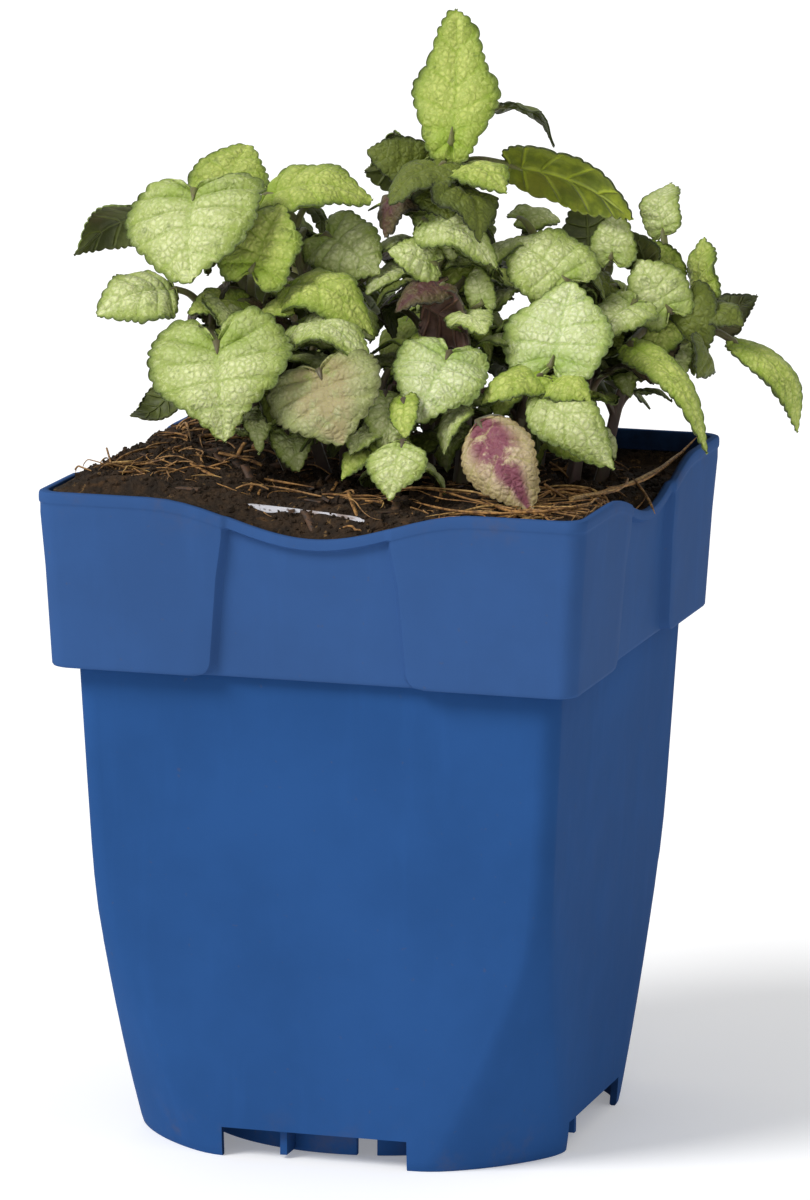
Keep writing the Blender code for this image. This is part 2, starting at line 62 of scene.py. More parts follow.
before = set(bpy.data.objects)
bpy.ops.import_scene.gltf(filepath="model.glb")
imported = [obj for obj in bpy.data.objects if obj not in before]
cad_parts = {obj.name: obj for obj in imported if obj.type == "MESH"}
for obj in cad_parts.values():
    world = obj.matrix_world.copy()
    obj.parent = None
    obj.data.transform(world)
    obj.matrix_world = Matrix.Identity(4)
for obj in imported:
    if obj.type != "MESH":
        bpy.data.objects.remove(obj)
CAD_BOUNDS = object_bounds()
MM = 0.001

# ---------------------------------------------------------------- sizes shared by the pieces, in millimetres

POT_HEIGHT = round(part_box("pot")[1].z / MM, 3)
RIM_HALF = round(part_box("pot")[1].x / MM, 3)
SHOULDER_Z = POT_HEIGHT - 35.0
COLLAR_LOW_HALF = 53.2
BODY_TOP_HALF = 49.0
BODY_LOW_HALF = 44.2
WALL = 1.4
CORNER_RADIUS = 4.0
CORNER_BLEND = 0.9
PANEL_TOP_HALF = 16.5
PANEL_FLARE = 3.0
PANEL_CORNER = 3.0
SCALLOP_HALF = 33.0
SCALLOP_CENTRE = 1.0
FLOOR_UNDER_Z = 7.0
FLOOR_Z = 8.5
RIM_DIP = 6.5
FOOT_RADIUS = 37.4
DRAIN_HOLES = 8
DRAIN_CIRCLE = 24.0
DRAIN_RADIUS = 3.5
SOIL_LEVEL = 130.5
SOIL_BELOW_RIM = 2.2
SOIL_SAG = 5.0
SOIL_HEAP = 4.8
SOIL_GAP = 0.3
SOIL_IN_FROM_RIM = 3.4
LABEL_X = (-16.0, 9.3)
LABEL_Y = -46.0
LABEL_TOP = 131.2
LABEL_LENGTH = 46.0
LABEL_PROUD = 0.4

# Each shoot is a route from its foot in the soil to its tip.
SHOOTS = {
    "stem_top": [(7, 6, 131), (7, 5, 149), (6, 6, 165), (6, 7, 180), (9, 8, 193)],
    "stem_left_high": [(-10, -5, 131), (-18, -7, 152), (-25, -9, 165), (-30, -9, 174), (-31, -9, 182)],
    "stem_left_low": [(-14, -12, 131), (-22, -16, 146), (-29, -17, 156), (-35, -12, 165)],
    "stem_mid": [(-7, -2, 131), (-10, -1, 149), (-14, -1, 161), (-18, 0, 172), (-21, 1, 182)],
    "stem_front": [(8, -21, 131), (7, -19, 140), (4, -16, 147), (-2, -15, 153)],
    "stem_centre": [(16, -4, 131), (17, -3, 145), (15, -2, 156), (11, 0, 166), (8, 2, 178)],
    "stem_right_front": [(31, -8, 131), (29, -6, 146), (30, -2, 155), (33, 5, 165), (27, 11, 178)],
    "stem_right_back": [(33, 18, 130), (36, 21, 146), (38, 20, 159), (37, 20, 171)],
    "stem_far": [(37, 26, 130), (41, 27, 145), (47, 24, 154), (52, 22, 159), (58, 22, 159)],
    "back_left_shoot": [(-20, 19, 131), (-25, 27, 149), (-28, 32, 163)],
    "back_mid_shoot": [(3, 22, 131), (2, 30, 152), (4, 33, 167)],
    "back_right_shoot": [(22, 31, 131), (25, 37, 148), (29, 39, 160)],
}

# The large leaves of each shoot: blade from stalk to tip, width, the way its upper side looks, how far its
# midrib arches up (as a share of its length), how steeply its two halves fall away, and its colouring.
LEAVES = {
    "stem_top": {
        "top_upright": ((12, 3, 197), (10, 13, 222), 20, (0, -1, 0.5), -0.03, 0.1, "fresh"),
        "top_left": ((4, 13, 190), (-8, 15, 190), 17, (0, 1, 0.3), 0.08, 0.2, "fresh"),
        "top_right": ((21, 12, 192), (48, 9, 183), 16, (0, 1, 0.9), 0.1, 0.1, "olive"),
        "top_edge": ((18, 17, 203), (29, 22, 197), 12, (0.2, 0.3, 1), 0.15, 0.1, "olive"),
        "top_front": ((12, 1, 190), (23, -8, 183), 15, (0, 0.2, 1), 0.08, 0.2, "olive"),
    },
    "stem_left_high": {
        "left_crown": ((-35, -17, 188), (-33, -28, 172), 24, (-0.3, -1, 0.5), 0.08, 0.15, "silver"),
        "left_back": ((-35, -1, 184), (-32, 8, 195), 16, (0, -1, 0.7), 0.05, 0.1, "fresh"),
        "left_tip": ((-46, -8, 182), (-63, -7, 175), 15, (0, 1, 0.9), 0.08, 0.2, "silver"),
        "left_upright": ((-22, -20, 173), (-18, -14, 186), 16, (0, -1, 0.6), 0.04, 0.1, "fresh"),
    },
    "stem_left_low": {
        "left_low": ((-39, -16, 168), (-52, -26, 165), 18, (-0.3, -1, 1), 0.12, 0.2, "silver"),
        "left_front": ((-26, -30, 160), (-22, -39, 143), 27, (0.1, -1, 0.5), 0.08, 0.12, "silver"),
        "left_old": ((-42, -7, 147), (-49, -12, 140), 8, (0.2, 1, -0.3), 0.2, 0.3, "old"),
    },
    "stem_mid": {
        "mid_top": ((-24, -5, 186), (-3, -5, 189), 16, (0, -0.7, 1), 0.1, 0.12, "fresh"),
        "mid_upper": ((-13, 1, 178), (-1, -4, 172), 14, (0.2, -1, 0.6), 0.08, 0.15, "silver"),
        "mid_arch": ((-17, -13, 169), (2, -19, 165), 14, (0, -0.6, 1), 0.2, 0.25, "fresh"),
        "mid_saddle": ((-14, -17, 162), (3, -25, 160), 13, (0, -0.6, 1), 0.18, 0.25, "silver"),
    },
    "stem_front": {
        "front_brown": ((-6, -27, 155), (0, -33, 142), 22, (-0.2, -1, 0.4), 0.06, 0.12, "old"),
        "front_small": ((13, -33, 143), (12, -40, 133), 13, (0, -1, 0.5), 0.08, 0.15, "silver"),
    },
    "stem_centre": {
        "centre_pale": ((17, -15, 158), (14, -27, 147), 18, (0.1, -1, 0.5), 0.08, 0.15, "frost"),
        "centre_sliver": ((21, -17, 149), (18, -26, 141), 8, (-0.5, -1, 0.2), 0.06, 0.15, "silver"),
        "centre_arch": ((8, -2, 182), (24, -7, 177), 13, (0, -0.6, 1), 0.14, 0.2, "silver"),
        "centre_purple": ((9, -6, 166), (22, -9, 158), 14, (0, 1, 0.4), 0.1, 0.2, "plum"),
    },
    "stem_right_front": {
        "right_big": ((37, -12, 156), (38, -3, 172), 21, (0, -1, 0.6), 0.03, 0.08, "frost"),
        "right_upper": ((37, 0, 171), (24, 4, 179), 16, (-0.1, -1, 0.8), 0.08, 0.15, "silver"),
        "right_low": ((34, -15, 151), (52, -23, 141), 16, (0.2, -1, 0.8), 0.08, 0.2, "silver"),
        "right_inner": ((37, -5, 146), (46, -9, 137), 12, (0, -1, 0.5), 0.08, 0.15, "fresh"),
        "front_pink": ((27, -29, 147), (40, -38, 132), 18, (0.2, -1, 0.4), 0.1, 0.4, "pink"),
    },
    "stem_right_back": {
        "right_nook": ((42, 14, 174), (42, 17, 183), 9, (0, -1, 0.5), 0.05, 0.15, "silver"),
        "right_dark": ((35, 23, 174), (33, 27, 184), 10, (0, 1, 0), 0.05, 0.2, "olive"),
        "right_mid": ((48, 10, 166), (42, 1, 160), 12, (0, -1, 1), 0.1, 0.15, "silver"),
    },
    "stem_far": {
        "far_top": ((49, 28, 177), (46, 32, 188), 11, (-0.3, -1, 0.4), 0.05, 0.2, "silver"),
        "far_small": ((48, 20, 170), (45, 18, 180), 9, (0.3, 1, 0), 0.08, 0.25, "olive"),
        "far_pale": ((54, 14, 164), (47, 15, 174), 12, (0.2, -1, 0.6), 0.06, 0.15, "silver"),
        "far_tall": ((58.5, 23, 162.5), (56, 27.5, 177), 11, (-1, -0.7, 0.2), 0.04, 0.2, "fresh"),
        "far_dark": ((57, 33, 158), (66, 36, 165), 12, (0, 1, 0.4), 0.05, 0.2, "olive"),
        "far_under": ((60, 15, 158), (64, 8, 153), 11, (0.6, 0.6, 0.6), 0.08, 0.2, "olive"),
        "far_droop": ((65, 23, 157), (80, 24, 141), 14, (0.3, -0.5, 1), 0.2, 0.3, "fresh"),
        "far_near": ((48, 6, 158), (67, -2, 141), 16, (0.2, -0.6, 1), 0.18, 0.3, "fresh"),
    },
}

# Side leaves, told in the same way, belong to their shoot's own piece.
SIDE_LEAVES = {
    "stem_left_high": [((-29, -12, 185), (-29, -17, 179), 6, (0, -1, 0.5), 0.05, 0.15, "fresh")],
    "stem_mid": [((2, 3, 172), (-3, -5, 168), 7, (0, -0.6, 1), 0.1, 0.15, "silver")],
    "stem_front": [
        ((5, -23, 146), (1, -30, 140), 8, (-0.2, -1, 0.5), 0.06, 0.15, "silver"),
        ((11, -26, 150), (13, -32, 144), 6, (0, -1, 0.4), 0.06, 0.15, "fresh"),
    ],
    "stem_centre": [
        ((15, 3, 170), (9, 6, 174), 7, (0, -1, 0.8), 0.06, 0.15, "fresh"),
        ((20, -2, 166), (17, 2, 173), 6, (0, -1, 0.5), 0.06, 0.15, "silver"),
    ],
    "stem_right_front": [((23, 14, 181), (30, 20, 181), 8, (0, -0.8, 1), 0.1, 0.15, "silver")],
    "stem_right_back": [((42, 16, 168), (34, 12, 172), 8, (0, -0.4, 1), 0.1, 0.2, "olive")],
    "back_left_shoot": [
        ((-33, 36, 163), (-47, 45, 157), 17, (-0.3, 0.6, 1), 0.12, 0.15, "silver"),
        ((-22, 39, 163), (-14, 51, 154), 17, (0.2, 0.8, 1), 0.12, 0.15, "silver"),
        ((-30, 32, 167), (-35, 27, 179), 14, (-0.4, 0.8, 0.5), 0.05, 0.15, "fresh"),
        ((-29, 26, 148), (-44, 28, 142), 15, (-0.4, 0.3, 1), 0.12, 0.15, "silver"),
        ((-22, 33, 148), (-24, 48, 141), 16, (0, 0.8, 1), 0.12, 0.15, "olive"),
    ],
    "back_mid_shoot": [
        ((-1, 37, 169), (-10, 47, 163), 17, (-0.3, 0.8, 1), 0.12, 0.15, "silver"),
        ((9, 38, 169), (17, 49, 162), 18, (0.3, 0.8, 1), 0.12, 0.15, "fresh"),
        ((4, 34, 172), (6, 31, 185), 16, (0, 1, 0.4), 0.05, 0.15, "silver"),
        ((-1, 35, 151), (-8, 50, 144), 17, (-0.2, 0.8, 1), 0.12, 0.15, "silver"),
        ((6, 35, 150), (14, 50, 143), 17, (0.2, 0.8, 1), 0.12, 0.15, "olive"),
    ],
    "back_right_shoot": [
        ((27, 44, 162), (20, 56, 154), 15, (-0.1, 0.9, 1), 0.12, 0.15, "silver"),
        ((34, 42, 162), (47, 50, 155), 17, (0.4, 0.6, 1), 0.12, 0.15, "fresh"),
        ((29, 41, 166), (29, 38, 178), 14, (0.2, 1, 0.4), 0.05, 0.15, "silver"),
        ((28, 41, 147), (32, 55, 141), 15, (0.2, 0.9, 1), 0.12, 0.15, "silver"),
        ((31, 35, 147), (45, 37, 142), 14, (0.5, 0.2, 1), 0.12, 0.15, "olive"),
    ],
}

# Loose strands on the soil: half thickness, whether it is a root fibre, and the places that it passes.
LOOSE_STRANDS = (
    (0.34, False, (28, -30, 132), (37, -43, 132.4), (45, -47.5, 133.4), (50, -41, 133.6), (50.5, -30, 132.6)),
    (0.28, False, (16, -36, 131.8), (26, -44, 132), (37, -47.5, 132.6), (46, -44, 133.2)),
    (0.26, True, (46, -20, 131.8), (50, -10, 131.6), (49, 2, 131.8), (45, 10, 130.6)),
    (0.3, True, (48, 9, 131), (51, 3, 130.6), (54.5, -3, 129), (57.5, -9, 127.2)),
    (0.25, True, (-47, -36, 133), (-46, -29, 136), (-43, -20, 136.6), (-40, -13, 135.2)),
    (0.28, True, (-47, 10, 135), (-43, 3, 138), (-39, -6, 136)),
    (0.3, False, (-46, -34, 133.4), (-37, -40, 133.4), (-27, -38, 133)),
    (0.24, True, (-40, -8, 135.6), (-32, -22, 135.8), (-24, -40, 132.6)),
    (0.3, False, (-36, -20, 135), (-22, -28, 133.8), (-6, -30, 132.4)),
    (0.22, True, (-28, -40, 132.6), (-14, -34, 132.8), (0, -38, 132), (12, -34, 131.8)),
    (0.32, False, (47, -14, 131.8), (50.3, 8, 130.6), (51, 30, 131.2), (51.8, 49, 133.6)),
)
# Tangles of loose fibre: centre, spread, number of strands, and the shortest and longest strand.
TANGLES = (
    ((39.0, -39.0), 8.0, 46, 8.0, 34.0),
    ((-38.0, -34.0), 14.0, 20, 5.0, 16.0),
    ((4.0, -32.0), 14.0, 16, 6.0, 20.0),
    ((46.0, -8.0), 9.0, 24, 8.0, 26.0),
    ((-36.0, 8.0), 14.0, 12, 5.0, 16.0),
    ((10.0, 40.0), 24.0, 24, 6.0, 22.0),
)
# How far out from the pot's middle a loose fibre may lie.
TANGLE_REACH = 50.3
TANGLE_SEED = 77
# The finishes of the tangles' strands, dealt out in this order.
TANGLE_FINISHES = ("chopped straw", "root fibre", "chopped straw", "root fibre", "dry stalk")
STRAW_ROUTE = [(45, -26, 132.3), (47, -2, 130.3), (48.5, 24, 129.6), (49, 46, 130.2)]

# Leaf colourings: silvery middle, blade, margin, the fresh part near the stalk, and a blush over the middle.
# The margin is the leaf's greener edge, made darker as painted shade.
COLOURINGS = {
    "silver": ((214, 220, 162), (148, 164, 76), (80, 98, 28), (128, 154, 30), None),
    "frost": ((222, 228, 182), (164, 180, 98), (90, 112, 36), (130, 162, 34), None),
    "fresh": ((192, 202, 108), (134, 154, 50), (74, 92, 22), (128, 158, 18), None),
    # A real dull dark green, made darker still to stand for leaves in shade: painted shade.
    "olive": ((106, 116, 38), (82, 94, 22), (48, 58, 14), (100, 114, 18), None),
    "old": ((188, 188, 142), (140, 148, 88), (88, 92, 44), (134, 142, 54), (164, 152, 108)),
    "pink": ((210, 190, 160), (174, 158, 112), (130, 112, 66), (146, 144, 54), (124, 52, 80)),
    "plum": ((104, 86, 58), (78, 68, 38), (48, 46, 20), (96, 96, 34), (84, 46, 48)),
}

# Each leaf's outline, how far its tip hooks down, how far it twists from stalk to tip, and its width as a
# share of the one in the table. The rest are round, hooked a little and straight.
FORMS = {
    "top_upright": ("shield", -0.02, 0.3, 0.88),
    "top_left": ("kite", 0.25, 0.3, 1.0),
    "top_right": ("tongue", 0.02, -0.3, 1.0),
    "top_front": ("kite", 0.3, 0.4, 1.0),
    "top_edge": ("tongue", 0.2, 0.3, 1.0),
    "left_crown": ("round", 0.1, 0.3, 1.16),
    "left_front": ("heart", 0.16, -0.2, 1.0),
    "left_tip": ("kite", 0.2, 0.5, 0.8),
    "left_low": ("kite", 0.12, -0.3, 1.0),
    "left_old": ("kite", 0.3, 0.6, 1.0),
    "mid_top": ("tongue", 0.2, 0.3, 1.0),
    "mid_arch": ("tongue", 0.25, 0.3, 1.0),
    "mid_saddle": ("tongue", 0.22, -0.3, 1.0),
    "front_small": ("kite", 0.1, 0.2, 1.0),
    "centre_sliver": ("kite", 0.2, 0.5, 1.0),
    "centre_arch": ("tongue", 0.25, -0.4, 0.9),
    "centre_purple": ("kite", 0.25, 0.5, 1.0),
    "front_pink": ("kite", 0.1, -0.5, 0.86),
    "right_low": ("kite", 0.25, 0.5, 0.85),
    "far_top": ("tongue", 0.6, 1.2, 0.8),
    "far_small": ("kite", 0.2, 0.4, 1.0),
    "far_tall": ("tongue", 0.1, 0.5, 1.1),
    "far_droop": ("tongue", 0.16, 0.6, 0.64),
    "far_near": ("tongue", 0.16, -0.8, 0.5),
    "far_dark": ("kite", 0.2, 0.4, 0.8),
    "far_under": ("kite", 0.3, 0.4, 1.0),
}
PLAIN_FORM = ("round", 0.12, 0.1, 1.0)

# Small leaves tucked between the large ones. They belong to their shoot's piece as well.
TUCKED_LEAVES = {
    # The dark leaves at this shoot's top stand in for the shade beneath the top leaf: painted shade.
    "stem_top": [
        ((11, 1, 193), (2, -8, 187), 12, (-0.3, -0.5, 1), 0.12, 0.25, "olive"),
        ((13, 4, 192), (25, -4, 190), 12, (0.2, -0.5, 1), 0.15, 0.25, "fresh"),
        ((8, 5, 189), (14, -5, 184), 12, (0, -0.6, 1), 0.12, 0.25, "olive"),
        ((5, 8, 191), (-5, 3, 195), 10, (-0.3, -1, 0.5), 0.05, 0.15, "olive"),
        ((9, 5, 188), (3, -1, 184), 8, (0, -0.6, 1), 0.12, 0.25, "olive"),
    ],
    "stem_centre": [
        ((13, -6, 170), (5, -12, 166), 8, (-0.2, -0.7, 1), 0.15, 0.25, "plum"),
        ((18, -8, 165), (24, -15, 163), 9, (0.2, -0.8, 1), 0.12, 0.25, "silver"),
        ((11, -5, 174), (3, -9, 177), 9, (0, -1, 0.7), 0.1, 0.2, "silver"),
    ],
    "stem_right_front": [
        ((35, -13, 154), (25, -20, 150), 9, (0, -0.8, 1), 0.16, 0.3, "fresh"),
        ((37, -13, 153), (46, -17, 151), 8, (0, -0.8, 1), 0.16, 0.3, "fresh"),
    ],
    "stem_far": [
        ((51, 25, 168), (46, 22, 177), 9, (0.3, -1, 0.2), 0.06, 0.2, "fresh"),
        ((57, 18, 167), (61, 15, 156), 9, (0.1, -1, 0.3), 0.12, 0.25, "olive"),
        ((53, 17, 162), (51, 10, 155), 9, (0.2, -1, 0.6), 0.12, 0.25, "fresh"),
        ((60, 20, 164), (68, 17, 162), 8, (0.1, -0.8, 1), 0.15, 0.3, "olive"),
    ],
    "stem_mid": [
        ((-10, -8, 160), (-19, -15, 158), 9, (0, -0.8, 1), 0.14, 0.25, "silver"),
        ((-8, -8, 154), (0, -15, 152), 9, (0, -0.8, 1), 0.14, 0.25, "fresh"),
    ],
    "stem_left_high": [
        ((-26, -14, 166), (-35, -20, 165), 9, (-0.2, -0.8, 1), 0.14, 0.25, "fresh"),
        ((-22, -14, 164), (-14, -20, 166), 9, (0.1, -0.8, 1), 0.14, 0.25, "fresh"),
    ],
}

# Colours of the undersides of leaves: dark, light and blushed. The plain one is dark olive, painted shade, as
# an underside looks in shade; the lit one is lighter, painted light.
UNDERSIDES = {
    "leaf underside": ((62, 70, 20), (92, 102, 36), (84, 58, 46)),
    "lit underside": ((96, 110, 18), (146, 158, 36), (112, 104, 34)),
    "plum underside": ((64, 42, 34), (104, 74, 58), (96, 42, 54)),
}
TURNED_UP = {"top_right": "lit underside", "centre_purple": "plum underside"}

# Where the seeds of side leaves and young leaves begin. Those of the large leaves begin at one.
SIDE_SEED = 400
YOUNG_SEED = 900
YOUNG_BLADE_SEED = 2000

# Blades wider than this have a finer mesh.
LARGE_WIDTH = 10.5
# About a full turn, the range of random phases.
TURN = 6.28

# The camera: degrees round, up and tilted, its distance in metres, and its focal length.
CAMERA_TURN = (16.3, 10.7, 0.4)
CAMERA_DISTANCE = 1.5
CAMERA_LENS = 225.45


def smoothstep(low, high, value):
    """Nought below the low end and one above the high end, or the other way round if they are swapped."""
    t = np.clip((value - low) / (high - low), 0.0, 1.0)
    return t * t * (3.0 - 2.0 * t)


def linear(colour):
    """A display colour, 0 to 255, as linear light."""
    shares = [c / 255.0 for c in colour]
    return tuple(c / 12.92 if c <= 0.04045 else ((c + 0.055) / 1.055) ** 2.4 for c in shares)


# ---------------------------------------------------------------- node trees


class Graph:
    """Short ways to add the nodes of one tree and join them."""

    def __init__(self, tree):
        self.tree = tree

    def node(self, kind, inputs=(), **settings):
        """A node with its settings, and its inputs fed by name or number."""
        made = self.tree.nodes.new(kind)
        for key, value in settings.items():
            setattr(made, key, value)
        for key, value in dict(inputs).items():
            self.feed(made.inputs[key], value)
        return made

    def feed(self, socket, value):
        """Links a socket's value, or sets it."""
        if isinstance(value, bpy.types.NodeSocket):
            self.tree.links.new(value, socket)
        elif value is not None:
            socket.default_value = value

    def math(self, operation, a, b=None, clamp=False):
        return self.node("ShaderNodeMath", enumerate((a, b)), operation=operation, use_clamp=clamp).outputs[0]

    def times(self, a, b):
        return self.math("MULTIPLY", a, b)

    def plus(self, a, b, clamp=False):
        return self.math("ADD", a, b, clamp)

    def rest(self, a):
        """What a share leaves of one."""
        return self.math("SUBTRACT", 1.0, a)

    def dot(self, a, b):
        return self.node("ShaderNodeVectorMath", {0: a, 1: b}, operation="DOT_PRODUCT").outputs["Value"]

    def stretch(self, where, scale):
        return self.node("ShaderNodeMapping", {"Vector": where, "Scale": scale}).outputs["Vector"]

    def combine(self, x, y, z=None):
        return self.node("ShaderNodeCombineXYZ", enumerate((x, y, z))).outputs[0]

    def split(self, vector):
        """The three parts of a vector."""
        return self.node("ShaderNodeSeparateXYZ", {0: vector}).outputs

    def step(self, low, high, value):
        ends = {"Value": value, "From Min": low, "From Max": high}
        return self.node("ShaderNodeMapRange", ends, interpolation_type="SMOOTHSTEP").outputs["Result"]

    def mix(self, share, a, b):
        made = self.node("ShaderNodeMix", data_type="RGBA")
        self.feed(made.inputs["Factor"], share)
        for name, value in (("A", a), ("B", b)):
            socket = [s for s in made.inputs if s.name == name and s.type == "RGBA"][0]
            self.feed(socket, (*value, 1.0) if isinstance(value, tuple) else value)
        return [s for s in made.outputs if s.type == "RGBA"][0]

    def tint(self, base, colour, mask, share):
        """The base with a colour laid over it, as strongly as the mask says and up to a share."""
        return self.mix(self.times(mask, share), base, colour)

    def noise(self, where, scale, detail=3.0, roughness=0.5, distortion=0.0):
        look = {"Scale": scale, "Detail": detail, "Roughness": roughness, "Distortion": distortion}
        return self.node("ShaderNodeTexNoise", {"Vector": where, **look}).outputs["Fac"]

    def cells(self, where, scale, feature="F1"):
        inputs = {"Vector": where, "Scale": scale}
        return self.node("ShaderNodeTexVoronoi", inputs, feature=feature).outputs["Distance"]

    def bump(self, height, depth, onto=None):
        inputs = {"Strength": 1.0, "Distance": depth, "Height": height, "Normal": onto}
        return self.node("ShaderNodeBump", inputs).outputs["Normal"]

    def finish(self, shader, colour, rough, normal, plain=()):
        """Feeds the shader, and sets what is the same all over on the shader's own sockets."""
        for name, value in (("Base Color", colour), ("Roughness", rough), ("Normal", normal)):
            self.feed(shader.inputs[name], value)
        for name, value in dict(plain).items():
            shader.inputs[name].default_value = value


def new_material(name):
    """A material, its graph, its shader and the piece's own coordinates."""
    made = bpy.data.materials.new(name)
    made.use_nodes = True
    graph = Graph(made.node_tree)
    shader = made.node_tree.nodes["Principled BSDF"]
    place = graph.node("ShaderNodeTexCoord").outputs["Object"]
    return made, graph, shader, place


def pot_plastic(colour, gloss):
    made, g, shader, place = new_material("pot plastic")
    cloudy = g.noise(place, 28.0, 4.0, 0.6)
    flow = g.noise(g.stretch(place, (1.0, 1.0, 0.12)), 160.0, 3.0, 0.6)
    base = g.mix(g.step(0.3, 0.7, cloudy), tuple(c * 0.93 for c in colour), tuple(c * 1.07 for c in colour))
    base = g.tint(base, tuple(min(c * 1.35, 1.0) for c in colour), g.step(0.52, 0.75, flow), 0.16)
    z = g.split(place)["Z"]
    dust_noise = g.noise(place, 90.0, 6.0, 0.7)
    near_rim = g.step((POT_HEIGHT - 9.0) * MM, POT_HEIGHT * MM, z)
    near_foot = g.rest(g.step(0.0, 14.0 * MM, z))
    dusty = g.plus(g.times(near_rim, 0.5), g.times(near_foot, 0.6))
    dusty = g.times(dusty, g.step(0.5, 0.72, dust_noise))
    specks = g.times(g.step(0.7, 0.78, g.noise(place, 700.0, 2.0)), 0.35)
    dusty = g.math("MAXIMUM", dusty, specks)
    # Painted light: the collar above the shoulder is mixed a little towards pale grey, as it looks where more
    # light falls on it.
    painted_collar_light = g.times(g.step((SHOULDER_Z - 0.5) * MM, SHOULDER_Z * MM, z), 0.022)
    base = g.mix(painted_collar_light, base, (0.62, 0.64, 0.66))
    base = g.tint(base, linear((92, 84, 80)), dusty, 0.55)
    # Painted shade: faces that look in towards the middle, the pot's inner walls, are darkened in blotches
    # towards near-black blue, as they look in shade.
    level = g.node("ShaderNodeVectorMath", {0: place, 1: (1.0, 1.0, 0.0)}, operation="MULTIPLY")
    facing = g.dot(g.node("ShaderNodeNewGeometry").outputs["Normal"], level.outputs[0])
    inside = g.rest(g.step(-0.02, 0.0, facing))
    painted_inner_shade = g.times(inside, g.plus(g.times(g.step(0.3, 0.7, dust_noise), 0.3), 0.5))
    base = g.mix(painted_inner_shade, base, linear((18, 24, 38)))
    rough = g.plus(g.plus(g.times(cloudy, 0.14), gloss - 0.07), g.times(dusty, 0.3))
    fine = g.bump(g.noise(place, 1500.0, 2.0), 0.02 * MM)
    fine = g.bump(g.noise(place, 55.0, 2.0), 0.35 * MM, fine)
    g.finish(shader, base, rough, g.bump(flow, 0.03 * MM, fine), {"Specular IOR Level": 0.004})
    return made


def soil_earth():
    made, g, shader, place = new_material("potting soil")
    lumps = g.noise(place, 260.0, 5.0, 0.65)
    grains = g.cells(place, 900.0)
    base = g.mix(g.step(0.35, 0.7, lumps), linear((26, 19, 13)), linear((76, 56, 36)))
    base = g.tint(base, linear((44, 33, 22)), g.step(0.0, 0.5, grains), 0.55)
    rusty = g.step(0.58, 0.7, g.noise(place, 120.0, 4.0, 0.6, 0.8))
    base = g.tint(base, linear((98, 68, 36)), rusty, 0.5)
    chips = g.step(0.63, 0.68, g.noise(g.stretch(place, (1.0, 0.4, 1.0)), 620.0, 3.0, 0.6))
    base = g.tint(base, linear((122, 94, 56)), chips, 0.7)
    raised = g.bump(g.noise(place, 700.0, 5.0, 0.7), 0.7 * MM, g.bump(grains, 0.5 * MM))
    g.finish(shader, base, g.plus(g.times(lumps, 0.25), 0.7), raised, {"Specular IOR Level": 0.25})
    return made


def fibrous(name, dark, light, rough=0.7):
    """Dry plant matter: streaks of two colours along and across the strand."""
    made, g, shader, place = new_material(name)
    streaks = g.noise(place, 800.0, 4.0, 0.6, 0.4)
    patches = g.noise(place, 110.0, 3.0)
    base = g.mix(g.step(0.35, 0.65, streaks), linear(dark), linear(light))
    base = g.tint(base, linear(dark), g.step(0.5, 0.7, patches), 0.45)
    g.finish(shader, base, g.plus(g.times(streaks, 0.2), rough - 0.1), g.bump(streaks, 0.08 * MM))
    return made


def label_plastic():
    made, g, shader, place = new_material("label plastic")
    smears = g.noise(g.stretch(place, (0.5, 1.0, 2.0)), 170.0, 5.0, 0.7)
    specks = g.noise(place, 900.0, 3.0)
    base = g.mix(g.step(0.3, 0.7, g.noise(place, 60.0)), linear((226, 226, 232)), linear((206, 206, 214)))
    base = g.tint(base, linear((122, 88, 60)), g.step(0.54, 0.68, smears), 0.75)
    base = g.tint(base, linear((60, 42, 30)), g.step(0.62, 0.7, specks), 0.7)
    g.finish(shader, base, g.plus(g.times(smears, 0.4), 0.3), g.bump(specks, 0.03 * MM))
    return made


def stem_skin():
    """Square stems: brown-purple at the foot, greener higher up, ribbed along their length."""
    made, g, shader, place = new_material("stem skin")
    rise = g.step(0.134, 0.186, g.split(place)["Z"])
    patches = g.noise(place, 140.0, 4.0, 0.6)
    rise = g.plus(g.times(rise, 0.7), g.times(g.step(0.4, 0.7, patches), 0.35), clamp=True)
    streaks = g.noise(g.stretch(place, (1.0, 1.0, 0.15)), 1300.0, 3.0, 0.6)
    base = g.mix(rise, linear((66, 44, 36)), linear((118, 124, 60)))
    base = g.tint(base, linear((92, 56, 54)), g.step(0.45, 0.7, streaks), 0.5)
    reach = (0.8 * MM, 0.6 * MM, 0.2 * MM)
    plain = {"Sheen Weight": 0.25, "Subsurface Weight": 0.15, "Subsurface Radius": reach}
    g.finish(shader, base, g.plus(g.times(patches, 0.2), 0.42), g.bump(streaks, 0.12 * MM), plain)
    return made


# Fine hair, and how deep light goes into a leaf.
LEAF_SKIN = {
    "Sheen Weight": 0.08,
    "Subsurface Weight": 0.22,
    "Subsurface Radius": (0.9 * MM, 1.2 * MM, 0.3 * MM),
}


def blade_places(g):
    """The blade's own places: share along the outline, share from midrib to edge, and length share."""
    veins = g.node("ShaderNodeUVMap", uv_map="veins").outputs["UV"]
    blade = g.node("ShaderNodeUVMap", uv_map="blade").outputs["UV"]
    over_veins = g.split(veins)
    return over_veins["X"], over_veins["Y"], g.split(blade)["X"]


def vein_lines(g, around, outward, count, width):
    """One on the side veins and the midrib, fading to nought between them."""
    wave = g.math("ABSOLUTE", g.math("SINE", g.times(around, math.pi * count)))
    side = g.rest(g.step(0.0, width, wave))
    side = g.times(side, g.rest(g.step(0.75, 1.0, outward)))
    middle = g.rest(g.step(0.0, 0.09, outward))
    return g.math("MAXIMUM", side, middle)


